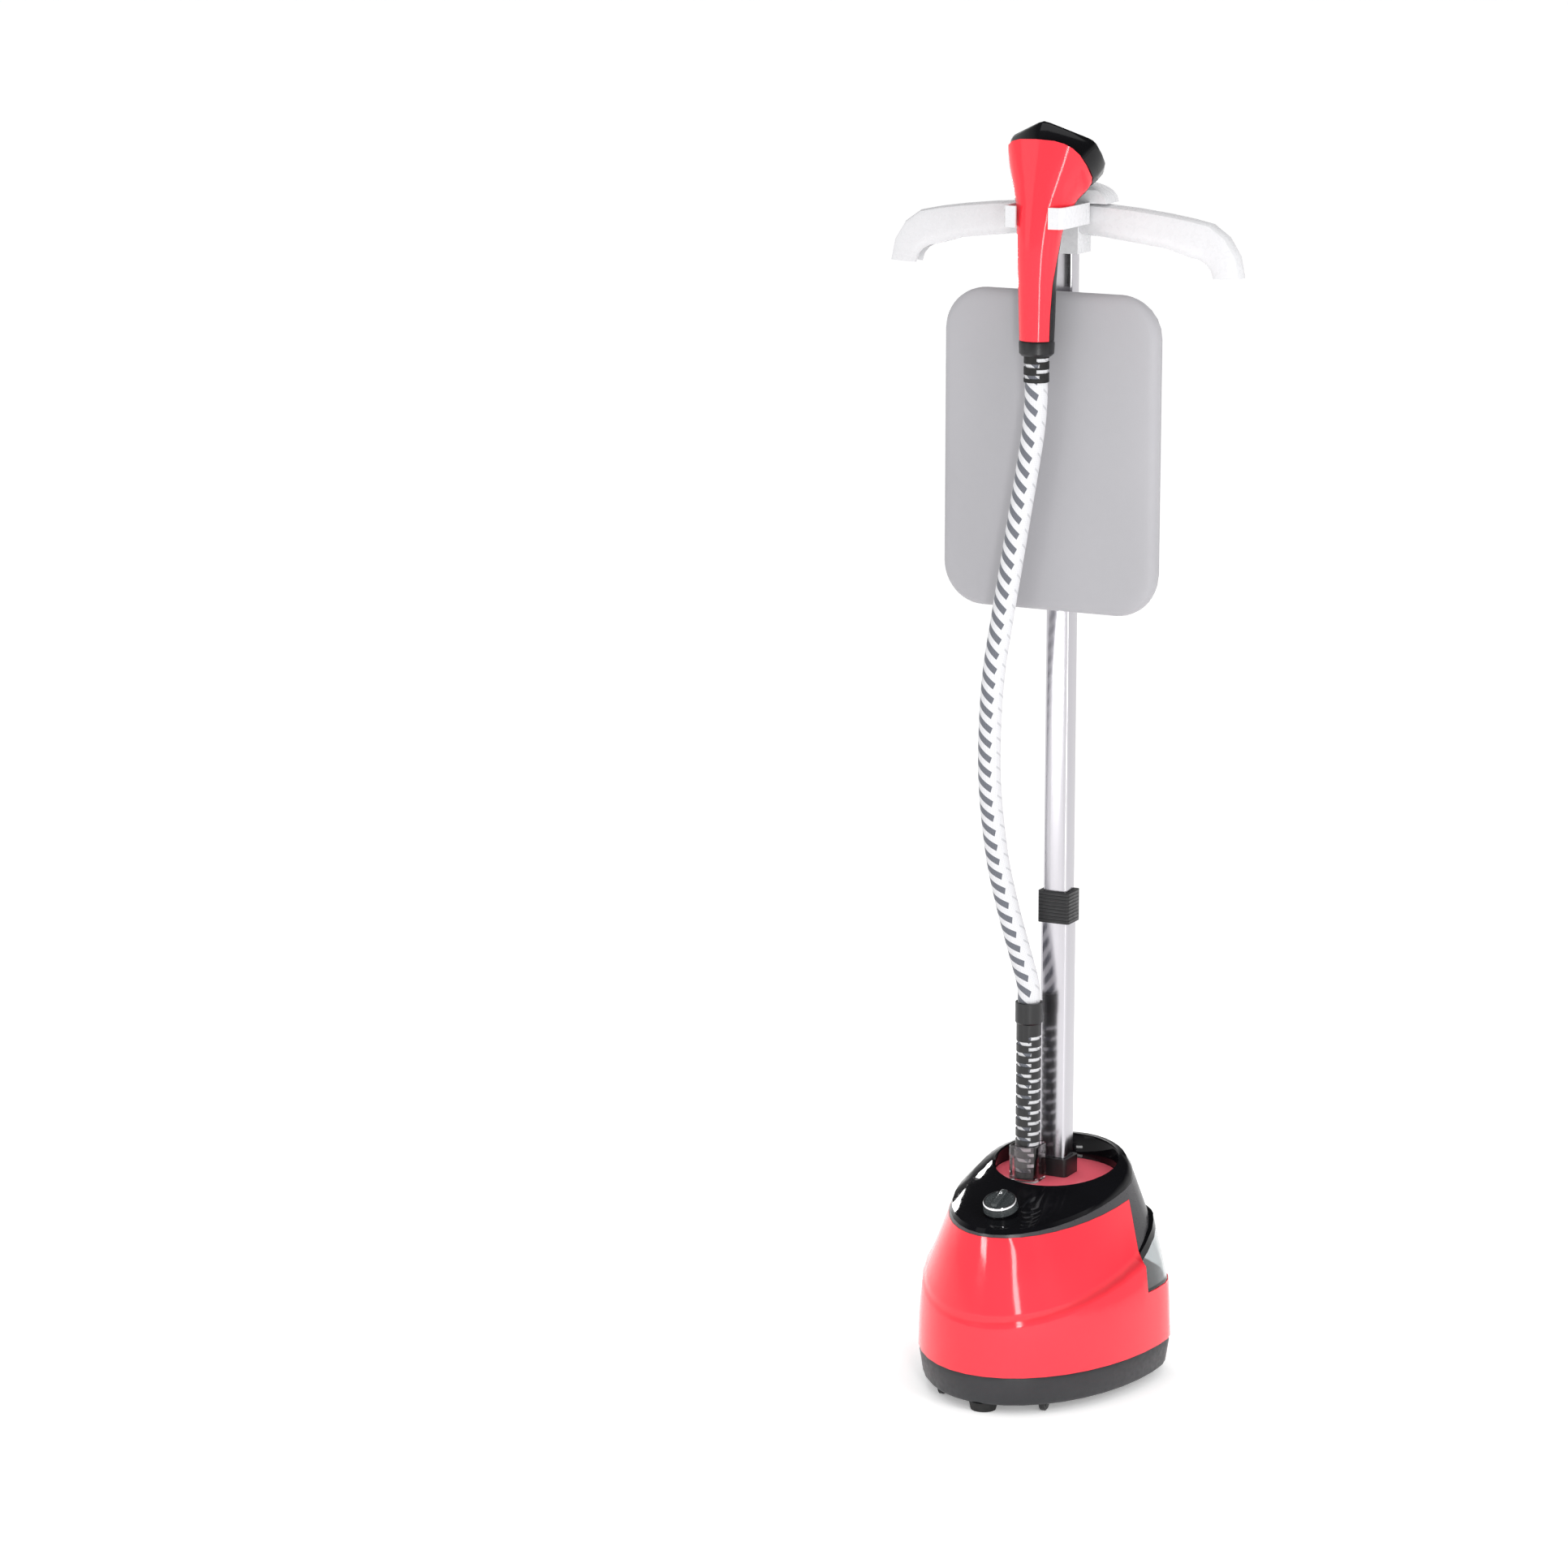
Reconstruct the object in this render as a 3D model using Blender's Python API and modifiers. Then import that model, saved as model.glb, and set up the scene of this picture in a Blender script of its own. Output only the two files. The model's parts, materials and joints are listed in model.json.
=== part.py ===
"""Stand-type garment steamer: base with tank and knob, telescopic pole, hose, hanger, head, press board.

Metres, +Z up, -Y is the front. The origin is on the floor, under the middle of the bounding box.
"""

import bmesh
import bpy
from math import asin, cos, pi, radians, sin
from mathutils import Matrix, Vector

OBJECT_NAME = "garment_steamer"
GAP = 0.0004  # clearance between pieces that touch

# Base: half of an ellipse in front of the pole axis, and a shorter half behind it
POLE_Y = 0.056
BASE_HALF_WIDTH = 0.146
BASE_FRONT = 0.224
BASE_REAR = 0.104
TRAY_BOTTOM = 0.0115
TRAY_FLOOR = 0.0160
TRAY_TOP = 0.048
SHELL_WALL = 0.003
COLUMNS = 40

# Wheels, each in a well in the tray
WHEEL_RADIUS = 0.0095
WHEEL_WIDTH = 0.009
WHEEL_BORE = 0.0019
WHEEL_PIN = (0.0014, 0.0108)
WELL = (0.0115, 0.0210, 0.0225)
WELL_WALL = 0.0013
WHEEL_PLACES = {
    "front_left": (-0.066, POLE_Y - 0.171),
    "front_right": (0.066, POLE_Y - 0.171),
    "rear_left": (-0.084, POLE_Y + 0.036),
    "rear_right": (0.084, POLE_Y + 0.036),
}

# Red shell: a proud lower part, a crease that rises to the rear, and a tapering upper part
CREASE_FRONT_Z = 0.112
CREASE_RISE = 0.055
CREASE_HALF_HEIGHT = 0.008
UPPER_START_Z = 0.146
UPPER = (0.134, 0.2135, 0.100)
UPPER_TAPER = (0.418, 0.231, 0.13)
SHELL_TOP_Z = 0.210  # at the front
SHELL_TOP_SLOPE = 0.06

# Tank notch in the rear of the shell
NOTCH_Y = POLE_Y - 0.038
NOTCH_BOTTOM = 0.117
TANK_SHOULDER_Z = 0.152
TANK_TOP_Z = 0.182
TANK_RAMP = 0.070
LID = 0.010
NOTCH_LEAN = 0.024  # how far its front edge leans back from the shoulder to the shell's top
TANK_TAPER = (0.270, 0.231, 0.060)
CHANNEL_HALF_WIDTH = 0.042
CHANNEL_BACK = POLE_Y + 0.036
PLUG_Y = POLE_Y + 0.062
PLUG_RADIUS = 0.013

# Glossy ring and the deck inside it
RING_EDGE_Z = 0.2135
RING_EDGE_RISE = 0.0207
LIP_HALF_WIDTH = 0.076
LIP_FRONT = 0.070
LIP_REAR = 0.068
LIP_Y = POLE_Y + 0.002
LIP_Z = 0.239
LIP_SLOPE = 0.20
DECK_TOP = 0.2375
DECK_THICK = 0.003

# Knob on the front slope of the ring
KNOB_CENTRE = Vector((-0.002, -0.094, 0.2315))
KNOB_TILT = radians(18)
KNOB_AXIS = Vector((0, -sin(KNOB_TILT), cos(KNOB_TILT)))
KNOB_RADIUS = 0.0205
KNOB_HEIGHT = 0.0125
KNOB_BAR_HEIGHT = 0.0045

# Pole: width, depth of the three tubes
LOWER_TUBE = (0.034, 0.028)
MIDDLE_TUBE = (0.0305, 0.0245)
TOP_TUBE = (0.027, 0.021)
TUBE_WALL = 0.0013
LOWER_TUBE_Z = (0.030, 0.562)
MIDDLE_TUBE_Z = (0.420, 0.9398)
TOP_TUBE_Z = (0.800, 1.372)
COLLAR_SIZE = (0.040, 0.033)
COLLAR_HEIGHT = 0.038
LOWER_COLLAR_Z = 0.548
UPPER_COLLAR_Z = 0.926

# Hose
HOSE_X = -0.018
HOSE_Y = POLE_Y - 0.042
HOSE_RADIUS = 0.0133
GUARD_RADIUS = 0.0148
GUARD_BORE = 0.0138
GUARD_Z = (DECK_TOP + 0.0035, 0.456)
GUARD_LEVELS = 13
GUARD_PITCH = 0.013
SLOT_HEIGHT = 0.0042
SLOT_TURN = radians(25)  # the two rows of slots face front left and front right
HOSE_ROUTE = [
    (HOSE_X, HOSE_Y, 0.4565),
    (-0.0200, 0.0137, 0.480),
    (-0.0318, 0.0119, 0.522),
    (-0.0455, 0.0083, 0.574),
    (-0.0570, 0.0035, 0.634),
    (-0.0622, -0.0060, 0.716),
    (-0.0590, -0.0140, 0.790),
    (-0.0520, -0.0190, 0.858),
    (-0.0405, -0.0216, 0.924),
    (-0.0310, -0.0220, 0.978),
    (-0.0218, -0.0220, 1.032),
    (-0.0125, -0.0220, 1.086),
    (-0.0045, -0.0220, 1.135),
    (-0.0006, -0.0220, 1.172),
    (0.0, -0.0220, 1.205),
    (0.0, -0.0220, 1.229),
]

# Hanger
SLEEVE_Z = (1.343, 1.4022)
FORK_Z = (1.379, 1.4035)
FORK_INNER = 0.0346
FORK_WALL = 0.0034
ARM_PATH = [  # x, top, underside, half depth
    (0.0235, 1.4015, 1.3655, 0.0150),
    (0.055, 1.4000, 1.3620, 0.0145),
    (0.090, 1.3975, 1.3580, 0.0140),
    (0.130, 1.3930, 1.3530, 0.0135),
    (0.160, 1.3885, 1.3440, 0.0130),
]

# Steam head: its handle's axis is in front of the board
HEAD_Y = POLE_Y - 0.078
SOLE_TILT = radians(45)
HEAD_TURN = radians(-5.5)  # about the handle's axis, as it hangs in the fork
SOLE_CENTRE = Vector((0.0, HEAD_Y + 0.046, 1.4650))
SOLE_HOUSING = 0.026
HEAD_COLLAR_Z = (1.2315, 1.2490)
RELIEF_Z = (1.2012, 1.2311)

HEAD_STATIONS = [  # y from the handle's axis, z, tilt in degrees, half width, front reach, rear reach, seam
    (0.0000, 1.2495, 0, 0.0205, 0.0200, 0.0190, -0.0054),
    (0.0000, 1.2800, 0, 0.0212, 0.0207, 0.0196, -0.0054),
    (0.0000, 1.3150, 0, 0.0222, 0.0213, 0.0202, -0.0030),
    (0.0005, 1.3450, 2, 0.0240, 0.0220, 0.0207, 0.0040),
    (0.0035, 1.3720, 9, 0.0265, 0.0232, 0.0215, 0.0080),
    (0.0095, 1.3960, 18, 0.0300, 0.0260, 0.0235, 0.0110),
    (0.0170, 1.4170, 28, 0.0375, 0.0325, 0.0290, 0.0150),
    (0.0235, 1.4330, 38, 0.0450, 0.0405, 0.0350, 0.0210),
]
HEAD_TOP_SECTION = (0.0490, 0.0465, 0.0390, 0.0270)  # half width, front, rear, seam, against the housing
HEAD_SQUARENESS = (2.0, 2.1, 2.1, 2.1, 2.2, 2.3, 2.6, 2.9, 3.1)  # superellipse power of each section
HEAD_HALF_STEPS = 14

# Press board
BOARD_WIDTH = 0.270
BOARD_Z = (0.928, 1.301)
BOARD_CORNER = 0.050
BOARD_FRONT = POLE_Y - 0.046
PAD_THICK = 0.020
CORE_THICK = 0.0045
CLIP_Z = (1.022, 1.214)
CLIP_HEIGHT = 0.021

RED = (0.90, 0.035, 0.06)
GLOSS_BLACK = (0.006, 0.006, 0.007)
SATIN_DARK = (0.055, 0.055, 0.06)
MATT_BLACK = (0.018, 0.018, 0.019)
WHITE = (0.86, 0.86, 0.87)
SILVER = (0.62, 0.62, 0.64)
CLEAR = (0.80, 0.84, 0.86)


def clear_scene():
    for obj in list(bpy.data.objects):
        bpy.data.objects.remove(obj)
    collections = []
    for name in (OBJECT_NAME, OBJECT_NAME + "_cutters"):
        collection = bpy.data.collections.new(name)
        bpy.context.scene.collection.children.link(collection)
        collections.append(collection)
    return collections


PARTS, CUTTERS = clear_scene()


def paint(obj, color, roughness, metallic=0.0):
    """A Principled material of the part's own."""
    material = bpy.data.materials.new(obj.name)
    material.use_nodes = True
    shader = material.node_tree.nodes["Principled BSDF"]
    shader.inputs["Base Color"].default_value = (*color, 1)
    shader.inputs["Roughness"].default_value = roughness
    shader.inputs["Metallic"].default_value = metallic
    material.diffuse_color = (*color, 1)
    obj.data.materials.append(material)
    return obj


def add_mesh(name, bm):
    mesh = bpy.data.meshes.new(name)
    bmesh.ops.recalc_face_normals(bm, faces=bm.faces)
    bm.to_mesh(mesh)
    bm.free()
    obj = bpy.data.objects.new(name, mesh)
    PARTS.objects.link(obj)
    return obj


def as_cutter(obj):
    if obj.name in PARTS.objects:
        PARTS.objects.unlink(obj)
        CUTTERS.objects.link(obj)
    obj.hide_render = True
    obj.display_type = "WIRE"
    return obj


def combine(obj, other, operation="DIFFERENCE", solver="EXACT"):
    """A live Boolean with another object, which becomes a helper."""
    modifier = obj.modifiers.new(operation.lower() + "_" + other.name, "BOOLEAN")
    modifier.operation = operation
    modifier.solver = solver
    modifier.object = as_cutter(other)
    return obj


def smooth(obj, degrees=35):
    obj.data.shade_smooth()
    obj.data.set_sharp_from_angle(angle=radians(degrees))
    return obj


def box(name, size, centre, bevel=0.0):
    bm = bmesh.new()
    bmesh.ops.create_cube(bm, size=1)
    bmesh.ops.scale(bm, vec=size, verts=bm.verts)
    bmesh.ops.translate(bm, vec=centre, verts=bm.verts)
    if bevel:
        bmesh.ops.bevel(bm, geom=bm.edges[:], offset=bevel, segments=2, affect="EDGES", profile=0.5)
    return add_mesh(name, bm)


def boxes(name, sizes_and_centres):
    """Separate boxes in one mesh, for cutting."""
    bm = bmesh.new()
    for size, centre in sizes_and_centres:
        made = bmesh.ops.create_cube(bm, size=1)["verts"]
        bmesh.ops.scale(bm, vec=size, verts=made)
        bmesh.ops.translate(bm, vec=centre, verts=made)
    return add_mesh(name, bm)


def rod(name, radius, start, end, segments=24, radius_end=None):
    """A cylinder or cone between two points."""
    start, end = Vector(start), Vector(end)
    bm = bmesh.new()
    bmesh.ops.create_cone(
        bm,
        cap_ends=True,
        segments=segments,
        radius1=radius,
        radius2=radius if radius_end is None else radius_end,
        depth=(end - start).length,
    )
    turn = (end - start).to_track_quat("Z", "Y").to_matrix().to_4x4()
    bmesh.ops.transform(bm, matrix=Matrix.Translation((start + end) / 2) @ turn, verts=bm.verts)
    return smooth(add_mesh(name, bm))


def turned(name, profile, steps=24):
    """A profile of (radius, height) from the top of the outside down, turned about Z with a Screw."""
    bm = bmesh.new()
    points = [bm.verts.new((radius, 0, height)) for radius, height in profile]
    for first, second in zip(points, points[1:]):
        bm.edges.new((first, second))
    if profile[0][0] > 0:
        bm.edges.new((points[-1], points[0]))
    mesh = bpy.data.meshes.new(name)
    bm.to_mesh(mesh)
    bm.free()
    obj = bpy.data.objects.new(name, mesh)
    PARTS.objects.link(obj)
    screw = obj.modifiers.new("turn", "SCREW")
    screw.steps = screw.render_steps = steps
    screw.use_merge_vertices = True
    screw.merge_threshold = 0.0001
    screw.use_smooth_shade = True
    return obj


def rounded(width, depth, radius, centre=(0, 0), steps=3):
    """Corner points of a rectangle with round corners, counter-clockwise."""
    points = []
    for corner, (sx, sy) in enumerate(((1, 1), (-1, 1), (-1, -1), (1, -1))):
        for step in range(steps + 1):
            angle = (corner + step / steps) * pi / 2
            points.append((
                centre[0] + sx * (width / 2 - radius) + radius * cos(angle),
                centre[1] + sy * (depth / 2 - radius) + radius * sin(angle),
            ))
    return points


def circle(radius, centre=(0, 0), steps=24):
    return [
        (centre[0] + radius * cos(2 * pi * k / steps), centre[1] + radius * sin(2 * pi * k / steps))
        for k in range(steps)
    ]


def plate(name, outlines, bottom, top):
    """Flat outlines in XY, inner ones as holes, extruded from bottom to top; returned as a closed mesh."""
    curve = bpy.data.curves.new(name, "CURVE")
    curve.dimensions = "2D"
    curve.fill_mode = "BOTH"
    curve.extrude = (top - bottom) / 2
    for outline in outlines:
        spline = curve.splines.new("POLY")
        spline.points.add(len(outline) - 1)
        for point, (x, y) in zip(spline.points, outline):
            point.co = (x, y, 0, 1)
        spline.use_cyclic_u = True
    source = bpy.data.objects.new(name, curve)
    source.location.z = (top + bottom) / 2
    PARTS.objects.link(source)
    return curve_to_mesh(source)


def curve_to_mesh(source):
    bpy.context.view_layer.update()
    graph = bpy.context.evaluated_depsgraph_get()
    mesh = bpy.data.meshes.new_from_object(source.evaluated_get(graph))
    name, matrix = source.name, source.matrix_world.copy()
    bpy.data.objects.remove(source)
    bm = bmesh.new()
    bm.from_mesh(mesh)
    bmesh.ops.remove_doubles(bm, verts=bm.verts, dist=0.00001)
    bmesh.ops.transform(bm, matrix=matrix, verts=bm.verts)
    bpy.data.meshes.remove(mesh)
    return add_mesh(name, bm)


def prism_x(name, outline, half_width):
    """A (y, z) outline extruded along X."""
    return prism(name, outline, half_width, Matrix(((0, 0, 1, 0), (1, 0, 0, 0), (0, 1, 0, 0), (0, 0, 0, 1))))


def prism(name, outline, half_thickness, matrix):
    """An outline extruded both ways, then placed by a matrix."""
    obj = plate(name, [outline], -half_thickness, half_thickness)
    obj.data.transform(matrix)
    return obj


def loft(name, rows, closed=False):
    """A skin through rows of equal length. closed joins the last row to the first instead of capping."""
    bm = bmesh.new()
    rings = [[bm.verts.new(point) for point in row] for row in rows]
    pairs = list(zip(rings, rings[1:])) + ([(rings[-1], rings[0])] if closed else [])
    for first, second in pairs:
        for k in range(len(first)):
            after = (k + 1) % len(first)
            bm.faces.new((first[k], first[after], second[after], second[k]))
    if not closed:
        bm.faces.new(rings[0][::-1])
        bm.faces.new(rings[-1])
    return smooth(add_mesh(name, bm))


def pivot(name, location, children):
    """An empty at a joint, which carries the pieces that move with it."""
    empty = bpy.data.objects.new(name, None)
    empty.location = location
    empty.empty_display_size = 0.02
    PARTS.objects.link(empty)
    bpy.context.view_layer.update()
    for child in children:
        child.parent = empty
        child.matrix_parent_inverse = empty.matrix_world.inverted()
    return empty


# Base outlines -----------------------------------------------------------------------------------

ANGLES = [2 * pi * (k + 0.5) / COLUMNS for k in range(COLUMNS)]


def lower_profile(z):
    drop = (z - TRAY_TOP) ** 2
    return BASE_HALF_WIDTH - 0.70 * drop, BASE_FRONT - 0.80 * drop, BASE_REAR - 0.50 * drop


def upper_profile(z):
    return tuple(size - taper * (z - UPPER_START_Z) for size, taper in zip(UPPER, UPPER_TAPER))


def outline_row(profile, height, inset=0.0, angles=ANGLES):
    """Points round the base at a height, which may be a function of the angle."""
    row = []
    for angle in angles:
        z = height(angle) if callable(height) else height
        half_width, front, rear = profile(z)
        reach = (front if sin(angle) < 0 else rear) - inset
        row.append(((half_width - inset) * cos(angle), POLE_Y + reach * sin(angle), z))
    return row


def crease_z(angle):
    return CREASE_FRONT_Z + CREASE_RISE * (1 + sin(angle))


def ring_edge_z(angle):
    return RING_EDGE_Z + RING_EDGE_RISE * (1 + sin(angle))


def shell_top_z(y):
    return SHELL_TOP_Z + SHELL_TOP_SLOPE * (y - POLE_Y + 0.198)


def notch_front(z):
    """The notch's front edge at a height, which leans back above the tank's shoulder."""
    top_y = NOTCH_Y + NOTCH_LEAN
    return NOTCH_Y + NOTCH_LEAN * (z - TANK_SHOULDER_Z) / (shell_top_z(top_y) - TANK_SHOULDER_Z)


def tank_outline(z):
    """The tank tapers less than the shell, so its top stands out below the cover."""
    return tuple(size - share * (z - UPPER_START_Z) for size, share in zip(UPPER, TANK_TAPER))


def tank_block(name, inset):
    rows = [outline_row(tank_outline, z, inset) for z in (NOTCH_BOTTOM - 0.01, 0.150, 0.190, 0.236)]
    return loft(name, rows)


def tank_profile(bottom, drop, front):
    """Side view of the tank's space: a ramp up from the notch, then level to the rear."""
    return [
        (front, bottom),
        (0.30, bottom),
        (0.30, TANK_TOP_Z + drop),
        (front + TANK_RAMP, TANK_TOP_Z + drop),
        (front, TANK_SHOULDER_Z + drop),
    ]


def channel_outline(half_width, back):
    """The space under the pole that the tank leaves free, with all that is in front of the notch."""
    return [
        (-0.3, -0.3),
        (0.3, -0.3),
        (0.3, NOTCH_Y - 0.02),
        (half_width, NOTCH_Y - 0.02),
        (half_width, back),
        (-half_width, back),
        (-half_width, NOTCH_Y - 0.02),
        (-0.3, NOTCH_Y - 0.02),
    ]


# Base --------------------------------------------------------------------------------------------

def make_tray():
    rows = [
        outline_row(lower_profile, TRAY_BOTTOM, 0.0085),
        outline_row(lower_profile, TRAY_BOTTOM + 0.004, 0.0050),
        outline_row(lower_profile, TRAY_TOP - 0.006, 0.0015),
        outline_row(lower_profile, TRAY_TOP - GAP, 0.0035),
        outline_row(lower_profile, TRAY_TOP - GAP, 0.0035 + SHELL_WALL),
        outline_row(lower_profile, TRAY_FLOOR, 0.0085 + SHELL_WALL),
    ]
    tray = loft("base_tray", rows)
    width, depth, top = WELL
    boss_bottom = TRAY_BOTTOM + 0.001
    boss_height = top + WELL_WALL - boss_bottom
    boss_size = (width + 2 * WELL_WALL, depth + 2 * WELL_WALL, boss_height)
    for name, (x, y) in WHEEL_PLACES.items():
        combine(tray, box("well_boss_" + name, boss_size, (x, y, boss_bottom + boss_height / 2)), "UNION")
    wells = [((width, depth, 2 * top), (x, y, 0)) for x, y in WHEEL_PLACES.values()]
    combine(tray, boxes("wheel_wells", wells))
    return paint(tray, SATIN_DARK, 0.55)


def make_shell():
    def crease(side):
        return lambda a: crease_z(a) + side * CREASE_HALF_HEIGHT

    def below(share):
        return lambda a: TRAY_TOP + share * (crease_z(a) - CREASE_HALF_HEIGHT - TRAY_TOP)

    def above(share):
        return lambda a: crease_z(a) + CREASE_HALF_HEIGHT + share * (
            0.245 - crease_z(a) - CREASE_HALF_HEIGHT
        )

    def rows(inset):
        return [
            outline_row(lower_profile, TRAY_TOP, inset),
            outline_row(lower_profile, below(0.5), inset),
            outline_row(lower_profile, crease(-1), inset),
            outline_row(upper_profile, crease(1), inset),
            outline_row(upper_profile, above(0.5), inset),
            outline_row(upper_profile, above(1.0), inset),
        ]

    shell = loft("body_shell", rows(0.0) + rows(SHELL_WALL)[::-1], closed=True)
    above_all = [
        (-0.3, shell_top_z(-0.3)),
        (NOTCH_Y + NOTCH_LEAN, shell_top_z(NOTCH_Y + NOTCH_LEAN)),
        (NOTCH_Y, TANK_SHOULDER_Z),
        (NOTCH_Y, NOTCH_BOTTOM),
        (0.3, NOTCH_BOTTOM),
        (0.3, 0.4),
        (-0.3, 0.4),
    ]
    combine(shell, prism_x("shell_top_cut", above_all, 0.3))
    return paint(shell, RED, 0.18)


def make_trim():
    """Satin band under the glossy ring, which widens into the rear cover over the tank."""
    def rows(inset):
        return [
            outline_row(upper_profile, 0.150, inset),
            outline_row(upper_profile, 0.190, inset),
            outline_row(upper_profile, ring_edge_z, inset),
        ]

    trim = loft("trim_cover", rows(0.0) + rows(SHELL_WALL)[::-1], closed=True)
    lid_top = TANK_TOP_Z + LID + 2 * GAP
    below_all = [
        (-0.3, 0.1),
        (0.3, 0.1),
        (0.3, lid_top),
        (NOTCH_Y + TANK_RAMP - 0.002, lid_top),
        (notch_front(TANK_SHOULDER_Z + LID + 0.0030) + GAP, TANK_SHOULDER_Z + LID + 0.0030),
        (NOTCH_Y + NOTCH_LEAN + GAP, shell_top_z(NOTCH_Y + NOTCH_LEAN) + GAP),
        (-0.3, shell_top_z(-0.3) + GAP),
    ]
    combine(trim, prism_x("trim_cut", below_all, 0.3))
    return paint(trim, SATIN_DARK, 0.35)


def lip_row(grow, rise, angles=ANGLES):
    row = []
    for angle in angles:
        x = (LIP_HALF_WIDTH + grow) * cos(angle)
        y = LIP_Y + ((LIP_FRONT if sin(angle) < 0 else LIP_REAR) + grow) * sin(angle)
        row.append((x, y, LIP_Z + LIP_SLOPE * (y - LIP_Y + LIP_FRONT) + rise))
    return row


def between(first, second, share, rise=0.0):
    """A row part of the way from one row to another."""
    return [
        tuple(a + share * (b - a) + (rise if axis == 2 else 0) for axis, (a, b) in enumerate(zip(p, q)))
        for p, q in zip(first, second)
    ]


def make_ring():
    edge = outline_row(upper_profile, lambda a: ring_edge_z(a) + GAP)
    edge_top = [(x * 0.985, POLE_Y + (y - POLE_Y) * 0.985, z + 0.005) for x, y, z in edge]
    edge_in = [(x * 0.975, POLE_Y + (y - POLE_Y) * 0.975, z) for x, y, z in edge]
    lip = lip_row(0.003, -0.0005)
    wall_foot = [(x * 0.985, LIP_Y + (y - LIP_Y) * 0.985, DECK_TOP - 0.009) for x, y, z in lip_row(0, 0)]
    inner_foot = [(x * 1.05, LIP_Y + (y - LIP_Y) * 1.05, DECK_TOP - 0.009) for x, y, z in lip_row(0, 0)]
    rows = [
        edge,
        edge_top,
        between(edge_top, lip, 0.45, 0.0035),
        lip,
        lip_row(0.0005, 0.0008),
        lip_row(-0.0010, -0.0010),
        wall_foot,
        inner_foot,
        lip_row(0.0035, -0.0045),
        between(edge_in, lip_row(0.0035, -0.0045), 0.45, 0.0020),
        edge_in,
    ]
    ring = loft("top_ring", rows, closed=True)
    boss_foot, boss_top = KNOB_CENTRE - KNOB_AXIS * 0.0075, KNOB_CENTRE - KNOB_AXIS * GAP
    combine(ring, rod("knob_boss", KNOB_RADIUS * 0.96, boss_foot, boss_top, 28), "UNION")
    combine(ring, rod("knob_hole", 0.0045, KNOB_CENTRE - KNOB_AXIS * 0.03, KNOB_CENTRE + KNOB_AXIS * 0.01))
    return paint(ring, GLOSS_BLACK, 0.06)


def make_deck():
    inner = [(x * 0.975, LIP_Y + (y - LIP_Y) * 0.975) for x, y, z in lip_row(0, 0)]
    holes = [
        rounded(LOWER_TUBE[0] + 0.001, LOWER_TUBE[1] + 0.001, 0.004, (0, POLE_Y)),
        circle(0.010, (HOSE_X, HOSE_Y), 16),
    ]
    deck = plate("deck_panel", [inner, *holes], DECK_TOP - DECK_THICK, DECK_TOP)
    return paint(deck, (0.86, 0.12, 0.16), 0.12)


def make_pole_socket():
    outer = rounded(0.043, 0.037, 0.005, (0, POLE_Y))
    inner = rounded(LOWER_TUBE[0] + 0.001, LOWER_TUBE[1] + 0.001, 0.004, (0, POLE_Y))
    return paint(plate("pole_socket", [outer, inner], DECK_TOP + GAP, DECK_TOP + 0.022), MATT_BLACK, 0.3)


def make_pole_foot():
    outer = rounded(0.050, 0.044, 0.006, (0, POLE_Y))
    foot = plate("pole_foot", [outer], TRAY_FLOOR + GAP, 0.055)
    inner = rounded(LOWER_TUBE[0] + 0.001, LOWER_TUBE[1] + 0.001, 0.004, (0, POLE_Y))
    combine(foot, plate("pole_foot_cut", [inner], LOWER_TUBE_Z[0] - GAP, 0.07))
    return paint(foot, MATT_BLACK, 0.5)


def make_disc_foot():
    foot_y = POLE_Y - 0.198
    foot = rod("front_foot", 0.0150, (0, foot_y, 0), (0, foot_y, TRAY_BOTTOM - GAP), 24, 0.0175)
    return paint(foot, MATT_BLACK, 0.6)


def make_wheels():
    half, hub = WHEEL_WIDTH / 2, 0.0045
    profile = [
        (0.0, half),
        (hub, half),
        (hub + 0.001, half - 0.0010),
        (WHEEL_RADIUS - 0.0015, half - 0.0010),
        (WHEEL_RADIUS, half - 0.0022),
    ]
    profile += [(radius, -height) for radius, height in profile[::-1]]
    pin_radius, pin_length = WHEEL_PIN
    for name, (x, y) in WHEEL_PLACES.items():
        wheel = turned("wheel_" + name, profile, 20)
        wheel.location = (x, y, WHEEL_RADIUS)
        wheel.rotation_euler = (0, pi / 2, 0)
        paint(wheel, MATT_BLACK, 0.55)
        through = [(x + side * WHEEL_WIDTH, y, WHEEL_RADIUS) for side in (-1, 1)]
        combine(wheel, rod("bore_" + name, WHEEL_BORE, *through, 12))
        ends = [(x + side * pin_length / 2, y, WHEEL_RADIUS) for side in (-1, 1)]
        paint(rod("wheel_pin_" + name, pin_radius, *ends, 10), SILVER, 0.35, 1.0)


def make_gland():
    rear = POLE_Y + BASE_REAR
    outline = [(0.0, 0.0113), (0.0055, 0.0113), (0.0075, 0.0085), (0.0085, 0.0), (0.0, 0.0)]
    gland = turned("cord_gland", outline, 20)
    gland.location = (0.045, rear - 0.0040, 0.030)
    gland.rotation_euler = (-pi / 2, 0, 0)
    return paint(gland, MATT_BLACK, 0.5)


# Inside the base ---------------------------------------------------------------------------------

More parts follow.
